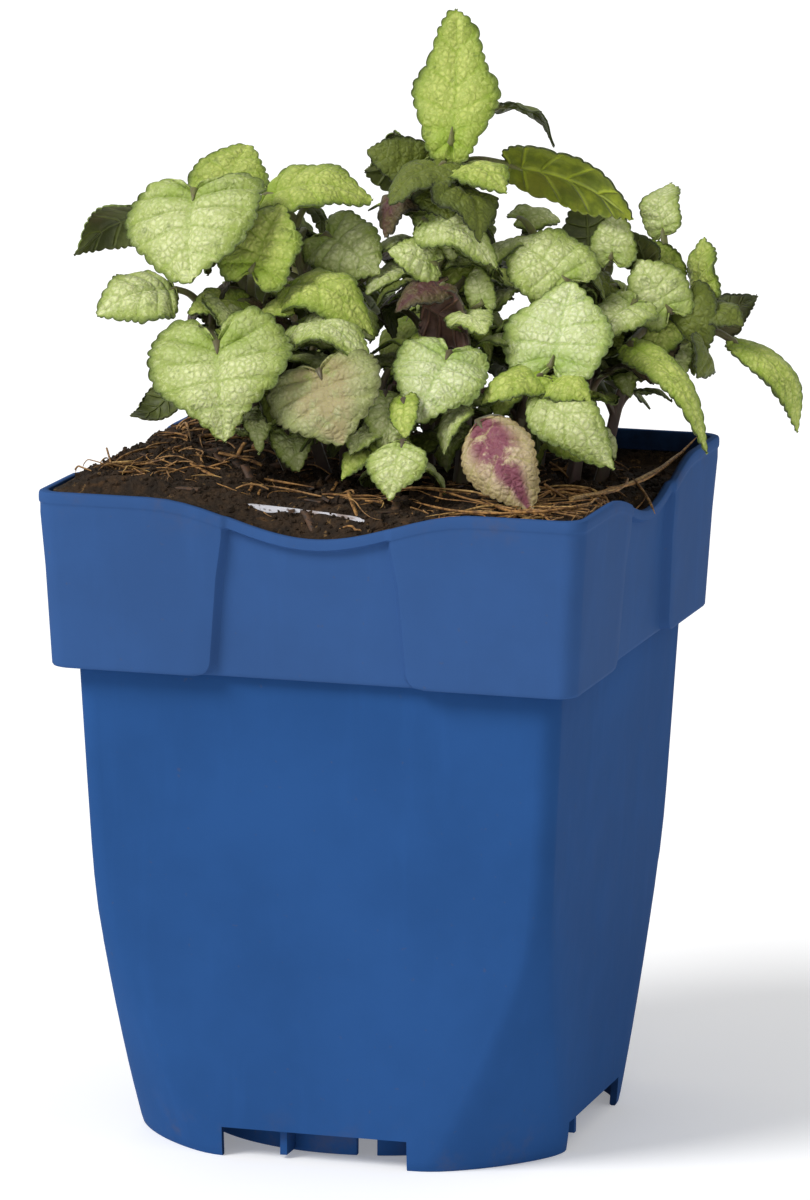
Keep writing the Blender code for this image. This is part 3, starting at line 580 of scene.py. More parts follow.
def leaf_upper(name, colouring, vein_count, relief):
    pale, blade, margin, fresh, blush = colouring
    made, g, shader, place = new_material(f"leaf upper side {name}")
    around, outward, along = blade_places(g)
    cloudy = g.noise(place, 260.0, 4.0, 0.6)
    fine = g.noise(place, 1400.0, 4.0, 0.65)
    ragged = g.plus(outward, g.times(g.math("SUBTRACT", cloudy, 0.5), 0.5))
    lines = vein_lines(g, around, outward, vein_count, 0.35)
    net = g.cells(place, 760.0, "DISTANCE_TO_EDGE")
    base = g.mix(g.step(0.4, 0.95, ragged), linear(pale), linear(blade))
    base = g.tint(base, linear(blade), g.step(0.42, 0.66, fine), 0.4)
    base = g.tint(base, linear(blade), g.rest(g.step(0.02, 0.26, net)), 0.55)
    pale_flecks = g.step(0.52, 0.62, g.noise(place, 820.0, 4.0, 0.7, 0.5))
    base = g.tint(base, linear(pale), pale_flecks, 0.45)
    dark_flecks = g.step(0.56, 0.68, g.noise(place, 430.0, 5.0, 0.72, 0.3))
    base = g.tint(base, linear(margin), dark_flecks, 0.5)
    base = g.tint(base, linear(fresh), lines, 0.4)
    near_stalk = g.rest(g.step(-0.02, 0.3, along))
    near_stalk = g.times(near_stalk, g.rest(g.step(0.2, 0.9, ragged)))
    base = g.tint(base, linear(fresh), near_stalk, 0.75)
    if blush:
        stain = g.times(g.step(0.34, 0.52, g.noise(place, 230.0, 5.0, 0.72, 0.4)), 0.92)
        stain = g.times(stain, g.rest(g.step(0.3, 0.8, outward)))
        base = g.mix(stain, base, linear(blush))
    # Partly painted shade: the margin's own greener colour, darkened, is laid along the blade's edge, as leaf
    # outlines look in shade.
    edge = g.step(0.82, 0.99, g.plus(outward, g.times(g.math("SUBTRACT", fine, 0.5), 0.1)))
    base = g.tint(base, linear(margin), edge, 0.8)
    fur = g.bump(g.noise(place, 4200.0, 2.0, 0.6), 0.05 * MM)
    puffed = g.bump(g.step(0.0, 0.35, net), relief, g.bump(fine, 0.12 * MM, fur))
    plain = {**LEAF_SKIN, "Sheen Roughness": 0.5, "Specular IOR Level": 0.35}
    g.finish(shader, base, g.plus(g.times(fine, 0.25), 0.42), puffed, plain)
    return made


def leaf_under(name, dark, light, blush, vein_count):
    made, g, shader, place = new_material(name)
    around, outward, _ = blade_places(g)
    cloudy = g.noise(place, 220.0, 4.0, 0.6)
    fine = g.noise(place, 1300.0, 3.0, 0.6)
    base = g.mix(g.step(0.35, 0.65, cloudy), linear(dark), linear(light))
    base = g.tint(base, linear(blush), g.step(0.5, 0.7, g.noise(place, 90.0, 3.0)), 0.45)
    base = g.tint(base, linear(dark), g.step(0.45, 0.7, fine), 0.3)
    lines = vein_lines(g, around, outward, vein_count, 0.3)
    base = g.tint(base, tuple(c * 1.7 for c in linear(light)), lines, 0.4)
    raised = g.bump(lines, 0.35 * MM, g.bump(fine, 0.1 * MM))
    g.finish(shader, base, g.plus(g.times(fine, 0.2), 0.5), raised, LEAF_SKIN)
    return made


# ---------------------------------------------------------------- geometry trees


def new_tree(name, inputs):
    """A geometry tree with a geometry input and named inputs: (name, socket kind, default, lowest)."""
    tree = bpy.data.node_groups.new(name, "GeometryNodeTree")
    tree.interface.new_socket("Geometry", in_out="OUTPUT", socket_type="NodeSocketGeometry")
    tree.interface.new_socket("Geometry", in_out="INPUT", socket_type="NodeSocketGeometry")
    for label, kind, default, lowest in inputs:
        socket = tree.interface.new_socket(label, in_out="INPUT", socket_type=f"NodeSocket{kind}")
        if default is not None:
            socket.default_value = default
        if lowest is not None:
            socket.min_value = lowest
    graph = Graph(tree)
    return tree, graph, graph.node("NodeGroupInput").outputs


def finish_tree(g, geometry, material):
    realize = g.node("GeometryNodeRealizeInstances", {0: geometry})
    paint = g.node("GeometryNodeSetMaterial", {"Geometry": realize.outputs[0], "Material": material})
    g.node("NodeGroupOutput", {0: paint.outputs[0]})


def linked(name, data):
    """A new object in the scene."""
    made = bpy.data.objects.new(name, data)
    bpy.context.scene.collection.objects.link(made)
    return made


def seen_mesh(holder):
    """The mesh of an object as its modifiers leave it."""
    bpy.context.view_layer.update()
    return bpy.data.meshes.new_from_object(holder.evaluated_get(bpy.context.evaluated_depsgraph_get()))


def run_tree(tree, source, values):
    """The mesh that a tree makes from a source mesh or curve. Nothing else of the two is left."""
    holder = linked(f"{tree.name} source", source)
    modifier = holder.modifiers.new(tree.name, "NODES")
    modifier.node_group = tree
    for item in tree.interface.items_tree:
        if item.in_out == "INPUT" and item.name in values:
            modifier[item.identifier] = values[item.name]
    made = seen_mesh(holder)
    bpy.data.objects.remove(holder, do_unlink=True)
    return made


def swept(g, curve, profile):
    return g.node("GeometryNodeCurveToMesh", {"Curve": curve, "Profile Curve": profile, "Fill Caps": True})


def rod_tree():
    """A rod along a curve, square with rounded edges, as thick at each point as the curve's radius says."""
    inputs = [
        ("Edge Rounding", "Float", 0.35, 0.0),
        ("Width Share", "Float", 1.0, 0.0),
        ("Material", "Material", None, None),
    ]
    tree, g, given = new_tree("rod along a path", inputs)
    sides = {"Width": g.times(given["Width Share"], 2.0), "Height": 2.0}
    square = g.node("GeometryNodeCurvePrimitiveQuadrilateral", sides)
    corners = {"Curve": square.outputs[0], "Radius": given["Edge Rounding"], "Count": 3}
    fillet = g.node("GeometryNodeFilletCurve", corners, mode="POLY")
    rod = swept(g, given["Geometry"], fillet.outputs[0])
    if "Scale" in rod.inputs:
        g.feed(rod.inputs["Scale"], g.node("GeometryNodeInputRadius").outputs[0])
    smooth = g.node("GeometryNodeSetShadeSmooth", {"Geometry": rod.outputs[0]})
    finish_tree(g, smooth.outputs[0], given["Material"])
    return tree


def scatter(g, given, shape):
    """Ends a tree with copies of a shape on the upward faces of the given mesh, turned along its surface."""
    normal = g.split(g.node("GeometryNodeInputNormal").outputs[0])
    upward = g.node("FunctionNodeCompare", {0: normal["Z"], 1: 0.25}, operation="GREATER_THAN")
    where = g.node("GeometryNodeInputPosition").outputs[0]
    sides = g.split(where)
    away = g.math("MAXIMUM", g.math("ABSOLUTE", sides["X"]), g.math("ABSOLUTE", sides["Y"]))
    inside = g.math("LESS_THAN", away, given["Reach"])
    both = g.node("FunctionNodeBooleanMath", {0: upward.outputs[0], 1: inside}, operation="AND")
    patch = g.step(0.38, 0.62, g.noise(where, 45.0, 2.0))
    thinned = g.plus(g.times(patch, given["Patchiness"]), g.rest(given["Patchiness"]))
    rule = {"Density": g.times(thinned, given["Density"]), "Seed": given["Seed"]}
    faces = {"Mesh": given["Geometry"], "Selection": both.outputs[0]}
    spread = g.node("GeometryNodeDistributePointsOnFaces", {**faces, **rule})
    lean, back = given["Lean"], g.times(given["Lean"], -1.0)
    ends = {"Min": g.combine(back, back), "Max": g.combine(lean, lean, 2.0 * math.pi)}
    ends["Seed"] = g.plus(given["Seed"], 1.0)
    spin = g.node("FunctionNodeRandomValue", ends, data_type="FLOAT_VECTOR")
    euler = g.node("FunctionNodeEulerToRotation", {0: spin.outputs[0]})
    turns = {0: spread.outputs["Rotation"], 1: euler.outputs[0]}
    turn = g.node("FunctionNodeRotateRotation", turns, rotation_space="LOCAL")
    size = g.node("FunctionNodeRandomValue", {"Seed": g.plus(given["Seed"], 2.0)}, data_type="FLOAT")
    for socket, end in zip([s for s in size.inputs if s.enabled], (given["Smallest"], given["Largest"])):
        g.feed(socket, end)
    copies = {"Points": spread.outputs["Points"], "Instance": shape.outputs[0], "Rotation": turn.outputs[0]}
    copies["Scale"] = [s for s in size.outputs if s.enabled][0]
    finish_tree(g, g.node("GeometryNodeInstanceOnPoints", copies).outputs[0], given["Material"])


SCATTER_INPUTS = [
    ("Density", "Float", 50000.0, 0.0),
    ("Smallest", "Float", 0.3 * MM, 0.0),
    ("Largest", "Float", 1.2 * MM, 0.0),
    ("Lean", "Float", 3.0, 0.0),
    ("Reach", "Float", 50.0 * MM, 0.0),
    ("Patchiness", "Float", 0.0, 0.0),
    ("Seed", "Int", 1, None),
    ("Material", "Material", None, None),
]


def crumb_tree():
    """Irregular crumbs over the upward faces of a mesh."""
    tree, g, given = new_tree("soil crumbs", SCATTER_INPUTS)
    ball = g.node("GeometryNodeMeshIcoSphere", {"Radius": 1.0, "Subdivisions": 1})
    spot = g.node("GeometryNodeInputPosition").outputs[0]
    rough = g.node("ShaderNodeTexNoise", {"Vector": spot, "Scale": 1.3})
    swell = {0: spot, "Scale": g.plus(g.times(rough.outputs["Fac"], 1.5), 0.2)}
    swollen = g.node("ShaderNodeVectorMath", swell, operation="SCALE").outputs[0]
    scatter(g, given, g.node("GeometryNodeSetPosition", {"Geometry": ball.outputs[0], "Position": swollen}))
    return tree


def strand_tree():
    """Bent strands over the upward faces of a mesh: straw, root fibres and bits of bark."""
    inputs = SCATTER_INPUTS + [
        ("Thickness", "Float", 0.05, 0.0),
        ("Flatness", "Float", 0.4, 0.0),
        ("Bend", "Float", 0.3, 0.0),
    ]
    tree, g, given = new_tree("soil strands", inputs)
    middle = g.combine(None, given["Bend"], g.times(given["Bend"], 0.4))
    ends = {"Start": (-0.5, 0.0, 0.0), "Middle": middle, "End": (0.5, 0.1, 0.05)}
    bow = g.node("GeometryNodeCurveQuadraticBezier", {"Resolution": 7, **ends})
    sides = {"Width": given["Thickness"], "Height": g.times(given["Thickness"], given["Flatness"])}
    oval = g.node("GeometryNodeCurvePrimitiveQuadrilateral", sides)
    scatter(g, given, swept(g, bow.outputs[0], oval.outputs[0]))
    return tree


def get_tree(name, build):
    """The tree of that name, built the first time that it is asked for."""
    return bpy.data.node_groups.get(name) or build()


# ---------------------------------------------------------------- meshes


def clean(mesh, merge=0.002 * MM):
    """Merges doubles and drops what has collapsed."""
    work = bmesh.new()
    work.from_mesh(mesh)
    bmesh.ops.remove_doubles(work, verts=work.verts, dist=merge)
    bmesh.ops.dissolve_degenerate(work, edges=work.edges, dist=merge)
    work.to_mesh(mesh)
    work.free()
    mesh.update()


def add_piece(name, mesh, nodes, materials=()):
    """A finished piece: linked, riding on the plant's one body, and standing for its CAD nodes."""
    made = linked(name, mesh)
    for finish in materials:
        mesh.materials.append(finish)
    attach(made, "root")
    if nodes:
        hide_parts(*nodes)
    return made


def mesh_from(name, points, faces, smooth=True):
    made = bpy.data.meshes.new(name)
    made.from_pydata([tuple(c * MM for c in p) for p in points], [], faces)
    made.update()
    if smooth:
        made.shade_smooth()
    return made


def stack(rings):
    """Points and faces over equal closed counter-clockwise rings, with the first and last one capped."""
    count = len(rings[0])
    points = np.concatenate(rings)
    faces = [tuple(reversed(range(count)))]
    for level in range(len(rings) - 1):
        low = level * count
        for i in range(count):
            j = (i + 1) % count
            faces.append((low + i, low + j, low + count + j, low + count + i))
    last = (len(rings) - 1) * count
    faces.append(tuple(range(last, last + count)))
    return points, faces


def body_half(z):
    """Half the body's width at a height."""
    return BODY_LOW_HALF + (BODY_TOP_HALF - BODY_LOW_HALF) * z / SHOULDER_Z


def collar_half(z):
    """Half the collar's width at a height."""
    return COLLAR_LOW_HALF + (RIM_HALF - COLLAR_LOW_HALF) * (z - SHOULDER_Z) / (POT_HEIGHT - SHOULDER_Z)


def cone_radius(z):
    """The cone that rounds the body's corners off, more so lower down."""
    return 49.3 + 0.33 * z - 0.0006 * z * z


def panel_half(z):
    """Half a set-back panel's width at a height, rounded where it meets the shoulder."""
    half = PANEL_TOP_HALF + PANEL_FLARE * (POT_HEIGHT - z) / (POT_HEIGHT - SHOULDER_Z)
    up = min(max(z - SHOULDER_Z, 0.0), PANEL_CORNER)
    return half + PANEL_CORNER - math.sqrt(PANEL_CORNER**2 - (PANEL_CORNER - up) ** 2)


def rim_z(along, depth):
    """The rim's height along a side: level at the corners, dipping in the middle."""
    reach = np.clip((np.asarray(along, float) - SCALLOP_CENTRE) / SCALLOP_HALF, -1.0, 1.0)
    return POT_HEIGHT - depth * (0.5 + 0.5 * np.cos(math.pi * reach))


def side_stations(half, edge):
    """Places along one side of the pot: close together at the panel's edge and at the corners."""
    step = np.array([-1.0, -0.6, -0.25, 0.0, 0.25, 0.6, 1.0]) + edge
    right = np.concatenate(
        [np.linspace(0.0, edge - 1.0, 9)[1:-1], step, np.linspace(edge + 1.0, half - CORNER_RADIUS, 10)[1:]]
    )
    return np.concatenate([-right[::-1], [0.0], right])


def pot_ring(half, edge, z=None, limit=1000.0, inset=0.0, below_rim=None, scallop=0.0):
    """One fine ring round the pot, as the CAD's rings, with soft panel edges and round corners."""
    along = side_stations(half, edge)
    depth = inset * smoothstep(-0.8, 0.8, edge - np.abs(along))
    turns = np.radians(-90.0 + 90.0 * np.arange(1, 8) / 8.0)
    centre = half - CORNER_RADIUS
    x = np.concatenate([along, centre + CORNER_RADIUS * np.cos(turns)])
    y = np.concatenate([depth - half, -centre + CORNER_RADIUS * np.sin(turns)])
    level = z if below_rim is None else rim_z(np.concatenate([along, np.full(7, half)]), scallop) - below_rim
    away = np.hypot(x, y)
    shrink = -CORNER_BLEND * np.logaddexp(-away / CORNER_BLEND, -limit / CORNER_BLEND) / away
    points = np.stack([x * shrink, y * shrink, np.broadcast_to(level, x.shape)], axis=1)
    turned = [points]
    for _ in range(3):
        last = turned[-1]
        turned.append(np.stack([-last[:, 1], last[:, 0], last[:, 2]], axis=1))
    return np.concatenate(turned)


def body_ring(z, offset=0.0, level=None):
    half = body_half(z) - offset
    limit = cone_radius(z) - offset
    edge = math.sqrt(max(limit**2 - half**2, 1.0))
    edge = min(edge, half - CORNER_RADIUS - 2.0)
    return pot_ring(half, edge, z if level is None else level, limit)


def collar_ring(z, offset=0.0, inset=2.0, below_rim=None, scallop=0.0):
    half = collar_half(z) - offset
    return pot_ring(half, panel_half(z), z, inset=inset, below_rim=below_rim, scallop=scallop)


def round_ring(radius, z):
    points = body_ring(0.0)
    flat = points[:, :2] / np.hypot(points[:, 0], points[:, 1])[:, None]
    return np.concatenate([flat * radius, np.full((len(flat), 1), z)], axis=1)


def prism(outline, low, high):
    points = [(x, y, z) for z in (low, high) for x, y in outline]
    count = len(outline)
    faces = [tuple(reversed(range(count))), tuple(range(count, 2 * count))]
    for i in range(count):
        j = (i + 1) % count
        faces.append((i, j, count + j, count + i))
    return points, faces


def turned(outline, quarters):
    for _ in range(quarters):
        outline = [(-y, x) for x, y in outline]
    return outline


def boxed(x0, x1, y0, y1):
    return [(x0, y0), (x1, y0), (x1, y1), (x0, y1)]


def cut_and_join(mesh, cutters, joined):
    """The mesh with solids cut from it and others joined to it."""
    holder = linked("pot work", mesh)
    helpers = []
    for operation, shapes in (("DIFFERENCE", cutters), ("UNION", joined)):
        for shape in shapes:
            helper = linked("helper", mesh_from("helper", *shape, smooth=False))
            helpers.append(helper)
            modifier = holder.modifiers.new(operation, "BOOLEAN")
            modifier.operation = operation
            modifier.solver = "EXACT"
            modifier.object = helper
    made = seen_mesh(holder)
    for done in [holder, *helpers]:
        bpy.data.objects.remove(done, do_unlink=True)
    return made


def pot_mesh(settings):
    """The moulded pot: underside, skirt, tapering body, collar with set-back panels, bead, and inside."""
    scallop = settings.scallop / MM
    lip = settings.bead / MM
    inner_foot = FOOT_RADIUS - WALL
    underside = [
        round_ring(8.6, 0.0),
        round_ring(9.0, 0.4),
        round_ring(9.0, FLOOR_UNDER_Z),
        round_ring(inner_foot, FLOOR_UNDER_Z),
        round_ring(inner_foot, 0.6),
        round_ring(inner_foot + 0.2, 0.4),
        round_ring(FOOT_RADIUS - 0.2, 0.4),
        round_ring(FOOT_RADIUS, 0.6),
        round_ring(FOOT_RADIUS, FLOOR_UNDER_Z),
        body_ring(FLOOR_UNDER_Z, WALL),
        body_ring(0.0, WALL, 0.3),
        body_ring(0.0, WALL - 0.3, 0.0),
    ]
    body = [body_ring(0.0, 0.3, 0.0), body_ring(0.0, 0.0, 0.35)]
    levels = (2.0, 5.0, 9.0, 14.0, 20.0, 27.0, 34.0, 41.0, 48.0, 55.0, 62.0, 76.0, 90.0, 97.4)
    body += [body_ring(z) for z in levels]
    body += [body_ring(SHOULDER_Z - 0.15, 0.08), body_ring(SHOULDER_Z, 0.0)]
    low = SHOULDER_Z
    collar = [collar_ring(low, 0.9), collar_ring(low, 0.5), collar_ring(low, 0.18, 2.0)]
    collar[-1][:, 2] = low + 0.12
    collar += [collar_ring(low + up) for up in (0.5, 1.0, 1.6, 2.2, 3.0, 4.5, 8.0, 14.0, 20.0)]
    # Below the rim, in from the outside, and the panel's set-back.
    rim = [
        (4.4, 0.0, 2.0), (3.2, 0.0, 2.0), (2.6, 0.0, 1.96), (2.4, -0.06, 1.7), (2.25, -0.16, 1.1),
        (2.0, -0.22, lip), (1.2, -0.25, lip), (0.5, -0.22, lip), (0.15, -0.08, lip), (0.0, 0.2, lip),
        (0.0, WALL - 0.35, lip), (0.12, WALL - 0.08, lip), (0.5, WALL, lip), (2.0, WALL, lip + 0.1),
        (2.8, WALL, 1.8), (3.4, WALL, 2.0), (6.0, WALL, 2.0),
    ]
    collar += [collar_ring(POT_HEIGHT, offset, inset, below, scallop) for below, offset, inset in rim]
    inside = [collar_ring(low + up, WALL) for up in (20.0, 10.0, 3.0, WALL + 0.4, WALL)]
    inside += [body_ring(SHOULDER_Z + WALL, WALL)]
    inside += [body_ring(z, WALL) for z in (76.0, 55.0, 34.0, 20.0, FLOOR_Z)]
    mesh = mesh_from("nursery_pot", *stack(underside + body + collar + inside))
    cutters, joined = [], []
    for quarter in range(4):
        cutters.append(prism(turned(boxed(-20.0, 18.0, -50.0, -41.0), quarter), -1.0, 6.0))
        cutters.append(prism(turned(boxed(5.6, 9.6, -39.0, -34.0), quarter), -1.0, 6.0))
        joined.append(prism(turned(boxed(-8.5, -7.1, -42.4, -36.4), quarter), 0.8, FLOOR_UNDER_Z + 0.6))
    steps = [2.0 * math.pi * k / 28 for k in range(28)]
    for i in range(DRAIN_HOLES):
        turn = 2.0 * math.pi * (i + 0.5) / DRAIN_HOLES
        x, y = DRAIN_CIRCLE * math.cos(turn), DRAIN_CIRCLE * math.sin(turn)
        hole = [(x + DRAIN_RADIUS * math.cos(t), y + DRAIN_RADIUS * math.sin(t)) for t in steps]
        cutters.append(prism(hole, FLOOR_UNDER_Z - 2.0, FLOOR_Z + 2.0))
    made = cut_and_join(mesh, cutters, joined)
    made.name = "nursery_pot"
    made.shade_smooth()
    made.set_sharp_from_angle(angle=math.radians(38.0))
    return made


def from_wall(x, y):
    """How far in from the soil's outline a place is."""
    return RIM_HALF - SOIL_IN_FROM_RIM - np.maximum(np.abs(x), np.abs(y))


def soil_z(x, y):
    """Height of the soil before its crumbs: the CAD soil's own rule, and the heap at the left."""
    sag = SOIL_SAG * smoothstep(8.0, 48.0, x) * smoothstep(-25.0, 35.0, y)
    lumps = 0.5 * np.sin(0.21 * x + 0.6) * np.cos(0.17 * y) + 0.4 * np.sin(0.13 * (x + 2.0 * y))
    level = SOIL_LEVEL - sag + lumps
    front = np.abs(y) >= np.abs(x)
    along = np.where(front, np.where(y < 0, x, -x), np.where(x > 0, y, -y))
    level = level + SOIL_HEAP * smoothstep(0.0, 38.0, -x) * smoothstep(-72.0, -42.0, y)
    below = 0.1 + (SOIL_BELOW_RIM - 0.1) * smoothstep(10.0, 35.0, x)
    at_wall = np.minimum(level, rim_z(along, RIM_DIP) - below)
    inward = smoothstep(0.0, 8.0 - 6.0 * smoothstep(10.0, 40.0, -x), from_wall(x, y))
    return at_wall + (level - at_wall) * inward


def rough_height(x, y, size, octaves):
    return noise.fractal(Vector((x / size, y / size, 3.7)), 0.9, 2.1, octaves)


def soil_mesh(settings):
    """The soil: plain against the pot's walls, lumpy and crumbly on top."""
    lump = settings.lump_height / MM
    rings = [body_ring(z, WALL + 0.6, z + SOIL_GAP) for z in (FLOOR_Z, 34.0, 60.0)]
    rings.append(body_ring(SHOULDER_Z + WALL, WALL + 0.6))
    rings += [collar_ring(SHOULDER_Z + up, WALL + SOIL_GAP) for up in (WALL + SOIL_GAP, 16.0)]
    rings.append(collar_ring(POT_HEIGHT, WALL + SOIL_GAP, 2.0, 4.0, RIM_DIP))
    outline = rings[-1]
    for share in np.concatenate([np.linspace(0.995, 0.06, 110), [0.02]]):
        x, y = outline[:, 0] * share, outline[:, 1] * share
        near_wall = smoothstep(0.0, 3.0, from_wall(x, y))
        rough = np.array([rough_height(a, b, 7.0, 5) for a, b in zip(x, y)])
        pits = np.array([rough_height(a + 60.0, b, 2.2, 4) for a, b in zip(x, y)])
        height = (lump * rough + 0.35 * lump * pits) * (0.3 + 0.7 * near_wall)
        rings.append(np.stack([x, y, soil_z(x, y) + height], axis=1))
    return mesh_from("potting_soil", *stack(rings))


# ---------------------------------------------------------------- leaves and shoots

# Half outlines of blades from the stalk round to the tip, as shares of the blade's length and width.
OUTLINES = {
    "heart": (
        (0.0, 0.0), (-0.12, 0.04), (-0.27, 0.13), (-0.34, 0.27), (-0.26, 0.42), (-0.06, 0.52), (0.2, 0.53),
        (0.44, 0.45), (0.66, 0.31), (0.84, 0.16), (0.96, 0.05), (1.0, 0.0),
    ),
    "round": (
        (0.0, 0.0), (-0.08, 0.05), (-0.18, 0.16), (-0.19, 0.3), (-0.09, 0.43), (0.1, 0.51), (0.34, 0.52),
        (0.57, 0.45), (0.76, 0.32), (0.9, 0.17), (0.98, 0.05), (1.0, 0.0),
    ),
    "shield": (
        (-0.16, 0.0), (-0.15, 0.12), (-0.09, 0.24), (0.02, 0.34), (0.17, 0.42), (0.33, 0.49), (0.46, 0.49),
        (0.58, 0.39), (0.72, 0.3), (0.87, 0.21), (0.97, 0.09), (1.0, 0.0),
    ),
    "kite": (
        (0.0, 0.0), (0.02, 0.09), (0.06, 0.22), (0.15, 0.37), (0.28, 0.48), (0.42, 0.5), (0.57, 0.43),
        (0.71, 0.32), (0.84, 0.2), (0.94, 0.08), (1.0, 0.0),
    ),
    "tongue": (
        (0.0, 0.0), (-0.03, 0.1), (-0.03, 0.24), (0.05, 0.4), (0.2, 0.49), (0.38, 0.5), (0.56, 0.44),
        (0.73, 0.33), (0.87, 0.2), (0.96, 0.07), (1.0, 0.0),
    ),
}


def smooth_route(points, per_span):
    """Catmull-Rom points through a route, the same number in each span."""
    knots = np.array(points, float)
    knots = np.concatenate([[2 * knots[0] - knots[1]], knots, [2 * knots[-1] - knots[-2]]])
    t = (np.arange(per_span) / per_span)[:, None]
    spans = []
    for a, b, c, d in zip(knots, knots[1:], knots[2:], knots[3:]):
        spans.append(
            0.5 * (2 * b + (c - a) * t + (2 * a - 5 * b + 4 * c - d) * t**2 + (3 * b - a - 3 * c + d) * t**3)
        )
    return np.concatenate([*spans, knots[-2:-1]])


def even_outline(form, count):
    """The half outline at even steps of its own length."""
    fine = smooth_route(OUTLINES[form], 24)
    reach = np.concatenate([[0.0], np.cumsum(np.hypot(*np.diff(fine, axis=0).T))])
    wanted = np.linspace(0.0, reach[-1], count)
    return np.stack([np.interp(wanted, reach, fine[:, k]) for k in (0, 1)], axis=1)


def crowded(t):
    """Shares from midrib to edge, closer together at the edge."""
    return 1.0 - (1.0 - t) ** 1.35


def grid(rows, columns):
    """The point numbers of a grid, and its four-sided faces."""
    index = np.arange(rows * columns).reshape(rows, columns)
    faces = np.stack([index[:-1, :-1], index[:-1, 1:], index[1:, 1:], index[1:, :-1]], axis=-1)
    return index, faces.reshape(-1, 4)


def unit(v):
    return v / np.linalg.norm(v)


def blade_surface(blade, settings, seed, form):
    """The upper surface of a blade: points in place, and its two sets of own places."""
    base, tip, width, facing, arch, fall = (np.array(v, float) for v in blade[:6])
    outline, hook, twist, share_of_width = form
    width, arch, fall = float(width) * share_of_width, float(arch), float(fall)
    length = float(np.linalg.norm(tip - base))
    large = width > LARGE_WIDTH
    teeth = max(5, int(round(settings.teeth * min(1.0, 0.4 + length / 32.0))))
    rows = teeth * (8 if large else 5) + 1
    columns = 9 if large else 6
    rng = np.random.default_rng(seed)
    edge = even_outline(outline, rows)
    around = np.linspace(0.0, 1.0, rows)
    sizes = np.array([length, width])
    tangent = np.gradient(edge * sizes, axis=0)
    tangent /= np.linalg.norm(tangent, axis=1)[:, None] + 1e-9
    outward = np.stack([-tangent[:, 1], tangent[:, 0]], axis=1)
    pitch = np.linalg.norm(np.diff(edge * sizes, axis=0), axis=1).sum() / teeth
    fade = (smoothstep(0.02, 0.1, around) * smoothstep(1.0, 0.95, around))[:, None]
    share = crowded(np.linspace(0.0, 1.0, columns))
    x, y = np.empty((rows, 2 * columns - 1)), np.empty((rows, 2 * columns - 1))
    middle = around[:, None] ** 2.1
    for side in (-1.0, 1.0):
        lobes = rng.uniform(0.01, 0.03)
        lobes = lobes * np.sin(math.pi * rng.integers(3, 6) * around + rng.uniform(0, TURN))
        waver = np.sin(TURN * rng.uniform(2.0, 4.0) * around + rng.uniform(0.0, TURN))
        uneven = around + 0.22 / teeth * waver
        crown = (np.abs(np.sin(math.pi * teeth * uneven)) ** 0.6 - 0.7)[:, None]
        bite = outward * (settings.tooth_depth * pitch * crown * fade + lobes[:, None] * width * fade) / sizes
        half_x = middle + (edge[:, :1] - middle) * share + share**6 * bite[:, :1]
        half_y = edge[:, 1:] * share**0.94 + share**6 * bite[:, 1:]
        if side > 0:
            x[:, columns - 1 :], y[:, columns - 1 :] = half_x, half_y
        else:
            x[:, : columns - 1], y[:, : columns - 1] = half_x[:, :0:-1], -half_y[:, :0:-1]
    out = crowded(np.abs(np.linspace(-1.0, 1.0, 2 * columns - 1)))[None, :]
    side = np.sign(y)
    spread = 2.0 * np.abs(y)
    reach = np.clip(x, 0.0, 1.0)
    lift = 4.0 * arch * length * reach * (1.0 - reach)
    lift -= 0.5 * fall * width * spread**1.6
    lift -= hook * length * smoothstep(0.45, 1.05, x) ** 1.6
    lift -= 0.16 * length * np.clip(-x, 0.0, 1.0)
    lift += width * y * np.sin(twist * (x - 0.3))
    waves = rng.uniform(0.03, 0.075)
    waves = waves * np.sin(rng.uniform(7.0, 11.0) * x + rng.uniform(0.0, TURN) + 1.5 * side)
    lift += width * waves * spread**2
    lift += rng.uniform(-0.06, 0.06) * width * side * spread
    veins = np.abs(np.sin(math.pi * settings.side_veins * around))[:, None] ** 0.7
    puffed = veins * np.sin(math.pi * out**0.8) ** 0.7 * smoothstep(0.0, 0.1, around)[:, None]
    lift += settings.quilting * width * puffed * (1.0 - around[:, None] ** 3)
    lift -= 0.03 * width * np.exp(-((y / 0.035) ** 2)) * smoothstep(1.0, 0.8, x)
    places = zip(x.ravel() * 7.0, y.ravel() * 7.0)
    crinkle = np.array([noise.noise(Vector((a, b, seed * 3.1))) for a, b in places]).reshape(x.shape)
    lift += 0.035 * width * crinkle * out
    along = unit(tip - base)
    up = unit(facing - facing.dot(along) * along)
    across = np.cross(up, along)
    points = base + along * (x * length)[..., None] + across * (y * width)[..., None] + up * lift[..., None]
    veins_uv = np.stack([np.broadcast_to(around[:, None], x.shape), np.broadcast_to(out, x.shape)], axis=-1)
    blade_uv = np.stack([x, y + 0.5], axis=-1)
    return points, veins_uv, blade_uv


def surface_normals(points):
    normal = np.cross(np.gradient(points, axis=0), np.gradient(points, axis=1))
    size = np.linalg.norm(normal, axis=-1, keepdims=True)
    flat = unit(normal[size[..., 0] > 1e-9].sum(axis=0))
    return np.where(size > 1e-6, normal / np.maximum(size, 1e-9), flat)


